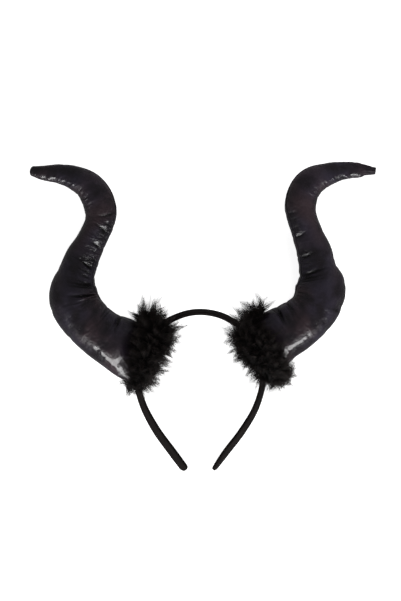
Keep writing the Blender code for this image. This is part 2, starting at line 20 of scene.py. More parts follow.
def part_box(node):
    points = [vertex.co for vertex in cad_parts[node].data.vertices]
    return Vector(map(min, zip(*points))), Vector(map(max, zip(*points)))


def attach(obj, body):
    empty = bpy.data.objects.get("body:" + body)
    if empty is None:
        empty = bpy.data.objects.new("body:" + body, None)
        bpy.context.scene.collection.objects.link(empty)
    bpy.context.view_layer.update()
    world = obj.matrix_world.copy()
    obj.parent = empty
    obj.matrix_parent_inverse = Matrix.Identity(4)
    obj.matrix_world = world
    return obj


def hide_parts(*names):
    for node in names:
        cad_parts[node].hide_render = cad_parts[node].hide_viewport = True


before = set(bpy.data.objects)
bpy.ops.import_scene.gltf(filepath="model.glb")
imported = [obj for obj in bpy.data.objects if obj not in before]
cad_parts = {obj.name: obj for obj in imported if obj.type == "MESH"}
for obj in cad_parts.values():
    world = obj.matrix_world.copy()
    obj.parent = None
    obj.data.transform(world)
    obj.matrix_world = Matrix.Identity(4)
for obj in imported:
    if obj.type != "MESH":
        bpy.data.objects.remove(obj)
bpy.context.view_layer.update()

LOG = logging.getLogger("horned_headband")
BODY = "root"

MILLIMETRE = 0.001
FLOOR_GAP = 0.0001
UP = np.array([0.0, 0.0, 1.0])


class Side(Enum):
    """Which side of the front a piece is on, with the sign of its X."""

    LEFT = -1
    RIGHT = 1

    @property
    def label(self) -> str:
        """Lower-case word for names."""
        return self.name.lower()


class Seam(Enum):
    """The two seams that join a horn's front and back panels."""

    INNER = 1
    OUTER = -1


@dataclass(frozen=True)
class Section:
    """One section of a horn, as shares of its reach, rise, width and depth.

    Attributes:
        out: Place away from the band, share of the reach.
        up: Place towards the tip, share of the rise.
        wide: Width across the front, share of the horn's width.
        deep: Thickness front to back, share of the horn's depth.
        lift: Height of its middle above the floor, share of the depth.
    """

    out: float
    up: float
    wide: float
    deep: float
    lift: float


@dataclass(frozen=True)
class Fold:
    """One large fold or dent that runs in from a seam.

    Attributes:
        along: Place of the fold, share of the horn's length.
        seam: The seam that it starts at.
        sink: Depth, share of the horn's fold depth.
        reach: How far it runs round the horn, in degrees.
        spread: Half-width, share of the horn's length.
        slant: How far along the horn its far end lies, share of the length.
    """

    along: float
    seam: Seam
    sink: float
    reach: float
    spread: float
    slant: float


@dataclass(frozen=True)
class SeamPlace:
    """Where the inner seam lies on the front: turned from the edge by an angle.

    Attributes:
        along: Share of the horn's length.
        turn: Degrees from the inner edge towards the front.
    """

    along: float
    turn: float


def rounded_curve(points: np.ndarray, pitch: float) -> np.ndarray:
    """Read a smooth curve through rows of numbers, hitting every row.

    Args:
        points: One row for each point; the first two columns are its place.
        pitch: Wanted distance between two read rows.

    Returns:
        The rows along the curve.
    """
    gaps = np.maximum(np.linalg.norm(np.diff(points[:, :2], axis=0), axis=1), 1e-9) ** 0.5
    inner = (points[2:] - points[1:-1]) / gaps[1:, None]
    before = (points[1:-1] - points[:-2]) / gaps[:-1, None]
    across = (points[2:] - points[:-2]) / (gaps[:-1] + gaps[1:])[:, None]
    slopes = np.vstack([
        (points[1] - points[0]) / gaps[0],
        before - across + inner,
        (points[-1] - points[-2]) / gaps[-1],
    ])
    rows = []
    for index in range(len(points) - 1):
        start, end, gap = points[index], points[index + 1], gaps[index]
        steps = max(1, round(float(np.linalg.norm(end[:2] - start[:2])) / pitch))
        share = (np.arange(steps) / steps)[:, None]
        square, cube = share ** 2, share ** 3
        rows.append(
            (2 * cube - 3 * square + 1) * start
            + (cube - 2 * square + share) * slopes[index] * gap
            + (3 * square - 2 * cube) * end
            + (cube - square) * slopes[index + 1] * gap
        )
    rows.append(points[-1:])
    return np.vstack(rows)


def directions(places: np.ndarray) -> np.ndarray:
    """Unit directions of a run of places, one at each."""
    return unit(np.gradient(places, axis=0))


def unit(rows: np.ndarray) -> np.ndarray:
    """Rows of vectors brought to unit length."""
    return rows / np.maximum(np.linalg.norm(rows, axis=-1, keepdims=True), 1e-12)


def placed(name: str, data: bpy.types.ID) -> bpy.types.Object:
    """Make an object of some data and link it to the scene."""
    item = bpy.data.objects.new(name, data)
    bpy.context.scene.collection.objects.link(item)
    return item


def grid_mesh(name: str, points: np.ndarray, uv: np.ndarray, caps: tuple = (None, None),
              closed_run: bool = False) -> bpy.types.Object:
    """Make one closed body through rings of points, with a UV map.

    Args:
        name: Name of the object.
        points: Array of rings, points and coordinates.
        uv: Array of rings and points plus one, with the map's two coordinates.
        caps: Pole points that close the first and the last ring.
        closed_run: True where the last ring meets the first, as in a torus.

    Returns:
        The new object, linked to the scene.
    """
    mesh = bmesh.new()
    layer = mesh.loops.layers.uv.new("cloth")
    rows = [[mesh.verts.new(point) for point in ring] for ring in points]
    count = len(rows[0])
    last = len(rows) if closed_run else len(rows) - 1
    for run in range(last):
        near, far = rows[run], rows[(run + 1) % len(rows)]
        for index in range(count):
            following = (index + 1) % count
            face = mesh.faces.new((near[index], near[following], far[following], far[index]))
            corners = ((run, index), (run, index + 1), (run + 1, index + 1), (run + 1, index))
            for loop, (along, around) in zip(face.loops, corners):
                loop[layer].uv = uv[along, around]
    for pole, run in zip(caps, (0, len(rows) - 1)):
        if pole is None:
            continue
        middle = mesh.verts.new(pole)
        for index in range(count):
            following = (index + 1) % count
            face = mesh.faces.new((rows[run][following], rows[run][index], middle))
            for loop, around in zip(face.loops, (index + 1, index, index)):
                loop[layer].uv = uv[run, around]
    bmesh.ops.recalc_face_normals(mesh, faces=mesh.faces)
    data = bpy.data.meshes.new(name)
    mesh.to_mesh(data)
    mesh.free()
    data.shade_smooth()
    return placed(name, data)


def vertex_places(data: bpy.types.Mesh) -> np.ndarray:
    """Places of a mesh's vertices."""
    flat = np.empty(len(data.vertices) * 3, np.float32)
    data.vertices.foreach_get("co", flat)
    return flat.reshape(-1, 3).astype(float)


def vertex_normals(data: bpy.types.Mesh) -> np.ndarray:
    """Normals of a mesh's vertices."""
    flat = np.empty(len(data.vertices) * 3, np.float32)
    data.vertex_normals.foreach_get("vector", flat)
    return flat.reshape(-1, 3).astype(float)


def set_places(data: bpy.types.Mesh, places: np.ndarray) -> None:
    """Move a mesh's vertices to new places."""
    data.vertices.foreach_set("co", places.astype(np.float32).ravel())
    data.update()


def store_values(data: bpy.types.Mesh, name: str, values: np.ndarray, kind: str = "FLOAT") -> None:
    """Keep a number or a vector on each vertex of a mesh.

    Args:
        data: The mesh.
        name: Name of the attribute.
        values: One number or vector for each vertex.
        kind: FLOAT or FLOAT_VECTOR.
    """
    layer = data.attributes.new(name, kind, "POINT")
    key = "value" if kind == "FLOAT" else "vector"
    layer.data.foreach_set(key, values.astype(np.float32).ravel())


def read_values(data: bpy.types.Mesh, name: str) -> np.ndarray:
    """Read the number that each vertex of a mesh keeps under a name."""
    flat = np.empty(len(data.vertices), np.float32)
    data.attributes[name].data.foreach_get("value", flat)
    return flat.astype(float)


class Nodes:
    """Short hand for adding and linking the nodes of one tree."""

    def __init__(self, tree: bpy.types.NodeTree) -> None:
        """Keep the tree.

        Args:
            tree: A shader or geometry node tree.
        """
        self.tree = tree

    def feed(self, socket: bpy.types.NodeSocket, value: object) -> None:
        """Link a socket to the one that feeds it, or set its own value."""
        if isinstance(value, bpy.types.NodeSocket):
            self.tree.links.new(value, socket)
        else:
            socket.default_value = value

    def fill(self, node: bpy.types.Node, inputs: dict) -> None:
        """Feed a node's inputs, each given by its name or number."""
        for key, value in inputs.items():
            self.feed(node.inputs[key], value)

    def add(self, kind: str, inputs: dict | None = None, **settings: object) -> bpy.types.Node:
        """Add a node, set its properties and feed its inputs.

        Args:
            kind: The node's type name.
            inputs: Socket name or number to a value or to the socket that feeds it.
            settings: The node's own properties.

        Returns:
            The new node.
        """
        node = self.tree.nodes.new(kind)
        for name, value in settings.items():
            setattr(node, name, value)
        self.fill(node, inputs or {})
        return node

    def math(self, operation: str, first: object, second: object = 0.0,
             third: object = 0.0) -> bpy.types.NodeSocket:
        """Add a number sum and give its result."""
        return self.add("ShaderNodeMath", {0: first, 1: second, 2: third}, operation=operation).outputs[0]

    def vector(self, operation: str, first: object, second: object = (0.0, 0.0, 0.0)) -> bpy.types.NodeSocket:
        """Add a vector sum and give its result."""
        inputs = {0: first}
        if operation != "NORMALIZE":
            inputs[1] = second
        return self.add("ShaderNodeVectorMath", inputs, operation=operation).outputs[0]

    def scaled(self, first: object, scale: object) -> bpy.types.NodeSocket:
        """Add the scaling of a vector and give its result."""
        return self.add("ShaderNodeVectorMath", {0: first, "Scale": scale}, operation="SCALE").outputs[0]

    def ramp(self, value: object, low: float, high: float, low_out: float,
             high_out: float) -> bpy.types.NodeSocket:
        """Map a value from one range to another, with smooth ends."""
        inputs = {"Value": value, "From Min": low, "From Max": high, "To Min": low_out, "To Max": high_out}
        return self.add("ShaderNodeMapRange", inputs, interpolation_type="SMOOTHSTEP").outputs["Result"]

    def stretched(self, place: object, scale: tuple) -> bpy.types.NodeSocket:
        """Stretch map coordinates by three factors."""
        return self.add("ShaderNodeMapping", {"Vector": place, "Scale": scale}).outputs[0]

    def noise(self, place: object, scale: float, detail: float = 2.0, **more: float) -> object:
        """Add a noise texture and give its outputs, the value and then the colour."""
        inputs = {"Vector": place, "Scale": scale, "Detail": detail, **more}
        return self.add("ShaderNodeTexNoise", inputs).outputs

    def bump(self, height: object, strength: float, depth: float, **over: object) -> bpy.types.NodeSocket:
        """Add a bump, over an earlier one where Normal gives it."""
        inputs = {"Height": height, "Strength": strength, "Distance": depth, **over}
        return self.add("ShaderNodeBump", inputs).outputs[0]

    def mask(self, name: str) -> bpy.types.NodeSocket:
        """Read a kept value by its name in a material."""
        return self.add("ShaderNodeAttribute", attribute_name=name).outputs["Fac"]

    def named(self, name: str, kind: str) -> bpy.types.NodeSocket:
        """Read a kept value by its name in a geometry tree."""
        node = self.add("GeometryNodeInputNamedAttribute", {"Name": name}, data_type=kind)
        return next(socket for socket in node.outputs if socket.enabled)

    def mix(self, share: object, first: object, second: object) -> bpy.types.NodeSocket:
        """Mix two colours by a share, 0 for the first and 1 for the second."""
        node = self.tree.nodes.new("ShaderNodeMix")
        node.data_type = "RGBA"
        for key, value in (("Factor_Float", share), ("A_Color", first), ("B_Color", second)):
            self.feed(next(s for s in node.inputs if s.identifier == key), value)
        return next(s for s in node.outputs if s.identifier == "Result_Color")


def new_material(name: str) -> tuple[bpy.types.Material, Nodes, bpy.types.Node]:
    """Make a material and give it with its nodes and its main shader."""
    material = bpy.data.materials.new(name)
    material.use_nodes = True
    return material, Nodes(material.node_tree), material.node_tree.nodes["Principled BSDF"]


def node_group(name: str, kind: str, sockets: tuple, fill: Callable) -> bpy.types.NodeTree:
    """Make a node group the first time, and give the same one afterwards.

    Args:
        name: Name of the group.
        kind: Type of its tree.
        sockets: Label, way, type and value or None of each outer socket.
        fill: What adds the nodes, given the tree's short hand.

    Returns:
        The group.
    """
    if name in bpy.data.node_groups:
        return bpy.data.node_groups[name]
    tree = bpy.data.node_groups.new(name, kind)
    for label, way, socket_kind, value in sockets:
        socket = tree.interface.new_socket(label, in_out=way, socket_type=socket_kind)
        if value is not None:
            socket.default_value = value
    fill(Nodes(tree))
    return tree


WEAVE_SOCKETS = (
    ("Map", "INPUT", "NodeSocketVector", None),
    ("Threads Along", "INPUT", "NodeSocketFloat", 1000.0),
    ("Threads Around", "INPUT", "NodeSocketFloat", 1000.0),
    ("Unevenness", "INPUT", "NodeSocketFloat", 0.3),
    ("Height", "OUTPUT", "NodeSocketFloat", None),
)
THREAD_WANDER = 420.0


def fill_weave(build: Nodes) -> None:
    """Add the nodes of the woven threads: map coordinates in metres to a thread height."""
    inside = build.add("NodeGroupInput").outputs
    parts = build.add("ShaderNodeSeparateXYZ", {0: inside["Map"]}).outputs
    wander = build.noise(inside["Map"], THREAD_WANDER)[0]
    drift = build.math("MULTIPLY", wander, inside["Unevenness"])
    waves = []
    for axis, label in (("X", "Threads Along"), ("Y", "Threads Around")):
        turns = build.math("MULTIPLY", parts[axis], inside[label])
        phase = build.math("MULTIPLY", build.math("ADD", turns, drift), 2 * math.pi)
        waves.append(build.math("MULTIPLY", build.math("SINE", phase), 0.5))
    build.add("NodeGroupOutput", {"Height": build.math("ADD", *waves)})


def threads(build: Nodes, cloth_map: object, along: float, around: float) -> bpy.types.NodeSocket:
    """Height of the woven threads, with their number in a metre both ways."""
    group = node_group("woven_threads", "ShaderNodeTree", WEAVE_SOCKETS, fill_weave)
    inputs = {"Map": cloth_map, "Threads Along": along, "Threads Around": around}
    return build.add("ShaderNodeGroup", inputs, node_tree=group).outputs["Height"]


@dataclass(frozen=True)
class CoatedCloth:
    """Thin black cloth with a wet-looking coat, drawn into fine creases at its seams, with painted shade in
    its folds and gathers.
    """

    name: str = "coated_cloth"
    dark: tuple = (0.0085, 0.0062, 0.0090, 1.0)
    cool: tuple = (0.0185, 0.0148, 0.0250, 1.0)
    warm: tuple = (0.0265, 0.0158, 0.0200, 1.0)
    # Near-black colour of the painted shade in the folds and the gathers' valleys.
    hollow: tuple = (0.0022, 0.0018, 0.0022, 1.0)
    smooth: float = 0.26
    rough: float = 0.42
    tied_rough: float = 0.35
    specular: float = 0.34
    coat: float = 0.90
    coat_roughness: float = 0.085
    coat_bend: float = 1.38
    crease_stretch: tuple = (1.0, 0.30, 1.0)
    crease_scale: float = 150.0
    crest: float = 0.12
    crease_depth: float = 0.0066
    soft_scale: float = 60.0
    soft_depth: float = 0.0040
    broad_scale: float = 20.0
    thread_count: float = 2600.0
    weave_depth: float = 0.00003

    def material(self) -> bpy.types.Material:
        """Build the material, which reads the cloth map in metres and the cloth's masks, one of them painted
        shade for the folds and gathers.
        """
        material, build, shader = new_material(self.name)
        cloth_map = build.add("ShaderNodeUVMap", uv_map="cloth").outputs[0]
        # The third mask is painted shade: how deep a place lies in a fold or a gather's valley.
        creasing, tied, hollow = (build.mask(name) for name in ("creasing", "tied", "hollow"))
        long_way = build.stretched(cloth_map, self.crease_stretch)
        coarse = build.noise(long_way, self.crease_scale, 4.0, Roughness=0.55, Distortion=0.7)[0]
        crests = build.math("ABSOLUTE", build.math("SUBTRACT", coarse, 0.5))
        creases = build.math("MULTIPLY", build.math("SUBTRACT", self.crest, crests), creasing)
        soft = build.noise(cloth_map, self.soft_scale, 3.0)[0]
        weave = threads(build, cloth_map, self.thread_count, self.thread_count)
        crease_bump = build.bump(creases, 1.0, self.crease_depth)
        soft_bump = build.bump(soft, 0.8, self.soft_depth, Normal=crease_bump)
        broad = build.noise(cloth_map, self.broad_scale, 1.0)[0]
        tint = build.mix(build.ramp(broad, 0.4, 0.6, 0.0, 1.0), self.cool, self.warm)
        open_cloth = build.mix(build.ramp(soft, 0.34, 0.62, 0.0, 1.0), self.dark, tint)
        worn = build.ramp(soft, 0.25, 0.75, self.smooth, self.rough)
        # The coat is dulled on the tied end, which is truly matte, and, as painted shade, in the folds and
        # gathers.
        dull_end_and_crease_shade = build.math("MAXIMUM", tied, build.math("MULTIPLY", hollow, 0.8))
        build.fill(shader, {
            # Painted shade: the folds and the gathers' valleys are darkened towards the near-black shade
            # colour.
            "Base Color": build.mix(hollow, open_cloth, self.hollow),
            "Roughness": build.math("MULTIPLY_ADD", tied, self.tied_rough, worn),
            "Coat Weight": build.math("MULTIPLY_ADD", dull_end_and_crease_shade, -self.coat, self.coat),
            "Normal": build.bump(weave, 0.35, self.weave_depth, Normal=soft_bump),
            "Specular IOR Level": self.specular,
            "Coat Roughness": self.coat_roughness,
            "Coat IOR": self.coat_bend,
        })
        return material


@dataclass(frozen=True)
class BandCloth:
    """Dull black cloth stretched over the band, with fine lengthwise ribs."""

    name: str = "band_cloth"
    dark: tuple = (0.0040, 0.0031, 0.0029, 1.0)
    light: tuple = (0.0108, 0.0081, 0.0076, 1.0)
    roughness: float = 0.78
    specular: float = 0.10
    rib_stretch: tuple = (0.06, 1.0, 1.0)
    rib_scale: float = 1500.0
    rib_depth: float = 0.00035
    threads_along: float = 900.0
    threads_around: float = 1100.0
    weave_depth: float = 0.00006

    def material(self) -> bpy.types.Material:
        """Build the material, which reads the cloth map in metres."""
        material, build, shader = new_material(self.name)
        cloth_map = build.add("ShaderNodeUVMap", uv_map="cloth").outputs[0]
        weave = threads(build, cloth_map, self.threads_along, self.threads_around)
        ribs = build.stretched(cloth_map, self.rib_stretch)
        streak = build.noise(ribs, self.rib_scale)[0]
        rib_bump = build.bump(streak, 0.7, self.rib_depth)
        build.fill(shader, {
            "Base Color": build.mix(build.ramp(streak, 0.3, 0.7, 0.0, 1.0), self.dark, self.light),
            "Roughness": build.ramp(streak, 0.2, 0.8, self.roughness, self.roughness + 0.2),
            "Normal": build.bump(weave, 0.5, self.weave_depth, Normal=rib_bump),
            "Specular IOR Level": self.specular,
        })
        return material


@dataclass(frozen=True)
class Fluff:
    """Black feathery fluff, a little browner and paler towards the strands' tips."""

    name: str = "fluff"
    root: tuple = (0.0022, 0.0018, 0.0018, 1.0)
    tip: tuple = (0.0420, 0.0315, 0.0290, 1.0)
    roughness: float = 0.55
    specular: float = 0.24
    cloud_scale: float = 600.0

    def material(self) -> bpy.types.Material:
        """Build the material, which reads each strand's run from root to tip."""
        material, build, shader = new_material(self.name)
        spot = build.add("ShaderNodeTexCoord").outputs["Object"]
        cloudy = build.noise(spot, self.cloud_scale)[0]
        share = build.math("MULTIPLY", build.mask("run"), build.ramp(cloudy, 0.4, 0.65, 0.1, 1.0))
        build.fill(shader, {
            "Base Color": build.mix(share, self.root, self.tip),
            "Roughness": build.ramp(cloudy, 0.2, 0.8, self.roughness, self.roughness + 0.2),
            "Specular IOR Level": self.specular,
        })
        return material


@dataclass
class Headband:
    """The narrow cloth-covered strip, bent to an open arc."""

    span: float = 0.1165
    height: float = 0.1495
    width: float = 0.010
    thickness: float = 0.0032
    corner: float = 0.0009
    pitch: float = 0.0012
    end_length: float = 0.0042
    end_steps: int = 8
    end_blunt: float = 0.12
    end_thin: float = 0.7
    root_lift: float = 0.0415 * 0.52
    root_up: float = 0.757
    rows: tuple = (
        (-0.258, 0.034, 44), (-0.416, 0.118, 47), (-0.70, 0.276, 43), (-0.906, 0.440, 31),
        (-0.985, 0.590, 25), (-0.955, 0.724, 21), (-0.82, 0.831, 17), (-0.63, 0.910, 14),
        (-0.39, 0.964, 13), (-0.17, 0.993, 12), (0.03, 1.000, 11), (0.23, 0.990, 12),
        (0.40, 0.968, 13), (0.60, 0.920, 14), (0.79, 0.852, 15), (0.93, 0.762, 18),
        (1.00, 0.640, 20), (0.99, 0.540, 23), (0.881, 0.398, 29), (0.678, 0.260, 35),
        (0.408, 0.118, 34), (0.262, 0.036, 22),
    )
    places: np.ndarray = field(init=False)
    broad: np.ndarray = field(init=False)
    thin: np.ndarray = field(init=False)

    def __post_init__(self) -> None:
        """Work out the strip's middle line and its directions in the frame."""
        scale = np.array([self.span / 2, self.height, 1.0])
        stations = rounded_curve(np.array(self.rows) * scale, self.pitch)
        ends = [math.radians(row[2]) for row in (self.rows[0], self.rows[-1])]
        end_height = max(self.width / 2 * math.cos(a) + self.thickness / 2 * math.sin(a) for a in ends)
        lowest = stations[:, 1].min()
        tilt = math.asin((self.root_lift - end_height) / (self.root_up * self.height - lowest))
        places = np.column_stack([
            stations[:, 0],
            stations[:, 1] * math.cos(tilt),
            end_height + (stations[:, 1] - lowest) * math.sin(tilt),
        ])
        normal = np.array([0.0, -math.sin(tilt), math.cos(tilt)])
        outward = unit(np.cross(normal, directions(places)))
        middle = np.array([0.0, self.height / 2 * math.cos(tilt), end_height])
        outward *= np.sign(np.sum(outward * (places - middle), axis=1))[:, None]
        rolls = np.radians(stations[:, 2])[:, None]
        self.broad = normal * np.cos(rolls) - outward * np.sin(rolls)
        self.thin = outward * np.cos(rolls) + normal * np.sin(rolls)
        low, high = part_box("headband")
        reach = np.abs(self.broad) * self.width / 2 + np.abs(self.thin) * self.thickness / 2
        shift_x = (low.x + high.x) / 2 - ((places - reach)[:, 0].min() + (places + reach)[:, 0].max()) / 2
        shift_y = high.y - (places + reach)[:, 1].max()
        self.places = places + np.array([shift_x, shift_y, 0.0])

    def root(self, side: Side) -> np.ndarray:
        """Place on the middle line where a side's horn is rooted."""
        picked = np.flatnonzero(self.places[:, 0] * side.value > 0)
        top = self.places[:, 1].max()
        bottom = self.places[:, 1].min()
        low = min(row[1] for row in self.rows)
        share = (self.root_up - low) / (1.0 - low)
        wanted = bottom + share * (top - bottom)
        return self.places[picked[np.argmin(np.abs(self.places[picked, 1] - wanted))]]

    def ring(self, place: np.ndarray, broad: np.ndarray, thin: np.ndarray, width: float,
             thickness: float) -> np.ndarray:
        """Points round the strip, its long edges rounded.

        Args:
            place: Middle of the strip.
            broad: Direction of its broad side.
            thin: Direction out of its face.
            width: Width there.
            thickness: Thickness there.

        Returns:
            One row for each point.
        """
        corner = min(self.corner, thickness * 0.49, width * 0.49)
        flat = np.linspace(-1.0, 1.0, 9)
        arc = np.linspace(0.0, math.pi / 2, 5)[1:-1]
        half_width, half_thick = width / 2, thickness / 2
        offsets = []
        for turn in range(4):
            along = half_width if turn % 2 == 0 else half_thick
            across = half_thick if turn % 2 == 0 else half_width
            steps = flat if turn % 2 == 0 else flat[::4]
            run = [(-step * (along - corner), across) for step in steps]
            bend = [(-(along - corner) - corner * math.sin(a), across - corner * (1 - math.cos(a)))
                    for a in arc]
            for a, b in run + bend:
                for _ in range(turn):
                    a, b = -b, a
                offsets.append((a, b))
        return np.array([place + broad * a + thin * b for a, b in offsets])

    def build(self, finish: BandCloth) -> bpy.types.Object:
        """Loft the strip, round its ends and dress it.

        Args:
            finish: The band's cloth.

        Returns:
            The finished strip, riding on the frame.
        """
        along = directions(self.places)
        rings, runs = [], []
        for sign, index in ((-1.0, 0), (1.0, len(self.places) - 1)):
            ends = []
            for step in range(1, self.end_steps + 1):
                share = step / (self.end_steps + self.end_blunt)
                narrow = math.sqrt(1.0 - share * share)
                place = self.places[index] + sign * along[index] * share * self.end_length
                thick = self.thickness * (self.end_thin + (1.0 - self.end_thin) * narrow)
                ring = self.ring(place, self.broad[index], self.thin[index], self.width * narrow, thick)
                ends.append((ring, sign * share * self.end_length))
            if sign < 0:
                ends.reverse()
                rings += [ring for ring, _ in ends]
                runs += [run for _, run in ends]
                for number, place in enumerate(self.places):
                    rings.append(self.ring(place, self.broad[number], self.thin[number], self.width,
                                           self.thickness))
                steps = np.linalg.norm(np.diff(self.places, axis=0), axis=1)
                runs += list(np.concatenate([[0.0], np.cumsum(steps)]))
            else:
                total = runs[-1]
                rings += [ring for ring, _ in ends]
                runs += [total + run for _, run in ends]
        points = np.array(rings)
        middle = self.end_steps + len(self.places) // 2
        loop = np.concatenate([points[middle], points[middle][:1]])
        around = np.concatenate([[0.0], np.cumsum(np.linalg.norm(np.diff(loop, axis=0), axis=1))])
        uv = np.stack(np.meshgrid(np.array(runs), around, indexing="ij"), axis=-1)
        points[:, :, 2] = np.maximum(points[:, :, 2], FLOOR_GAP)
        poles = (points[0].mean(axis=0), points[-1].mean(axis=0))
        strip = grid_mesh("headband_cloth", points, uv, poles)
        strip.data.materials.append(finish.material())
        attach(strip, BODY)
        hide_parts("headband")
        return strip


@dataclass(frozen=True)
class Gathers:
    """The small gathers that the stitches draw along a horn's two seams.

    Attributes:
        counts: How many along the inner and the outer seam.
        jitter: How far one strays from its even place, share of their pitch.
        reach: How far they run round the horn, in radians.
        depth: Their depth, in millimetres.
        spread: Their half-width, share of the horn's length.
        slant: Greatest lean along the horn, share of its length.
        crests: Share of them that stand out and don't sink in.
        rise: How soon they reach their depth beside the seam.
        cut: Where they end, in half-widths.
        sharpness: Power of their fall to both sides.
        outline: How soon they fade towards the outline, and what is left there.
    """

    counts: tuple = (84, 78)
    jitter: float = 0.35
    reach: tuple = (0.6, 1.6)
    depth: tuple = (0.5, 1.6)
    spread: tuple = (0.0034, 0.0058)
    slant: float = 0.024
    crests: float = 0.55
    rise: float = 2.8
    cut: float = 3.2
    sharpness: float = 1.5
    outline: tuple = (1.6, 0.2)


FILLING = {
    "quality": 5,
    "mass": 0.15,
    "tension_stiffness": 12.0,
    "compression_stiffness": 12.0,
    "shear_stiffness": 6.0,
    "bending_stiffness": 0.06,
    "use_internal_springs": False,
    "use_pressure": True,
}


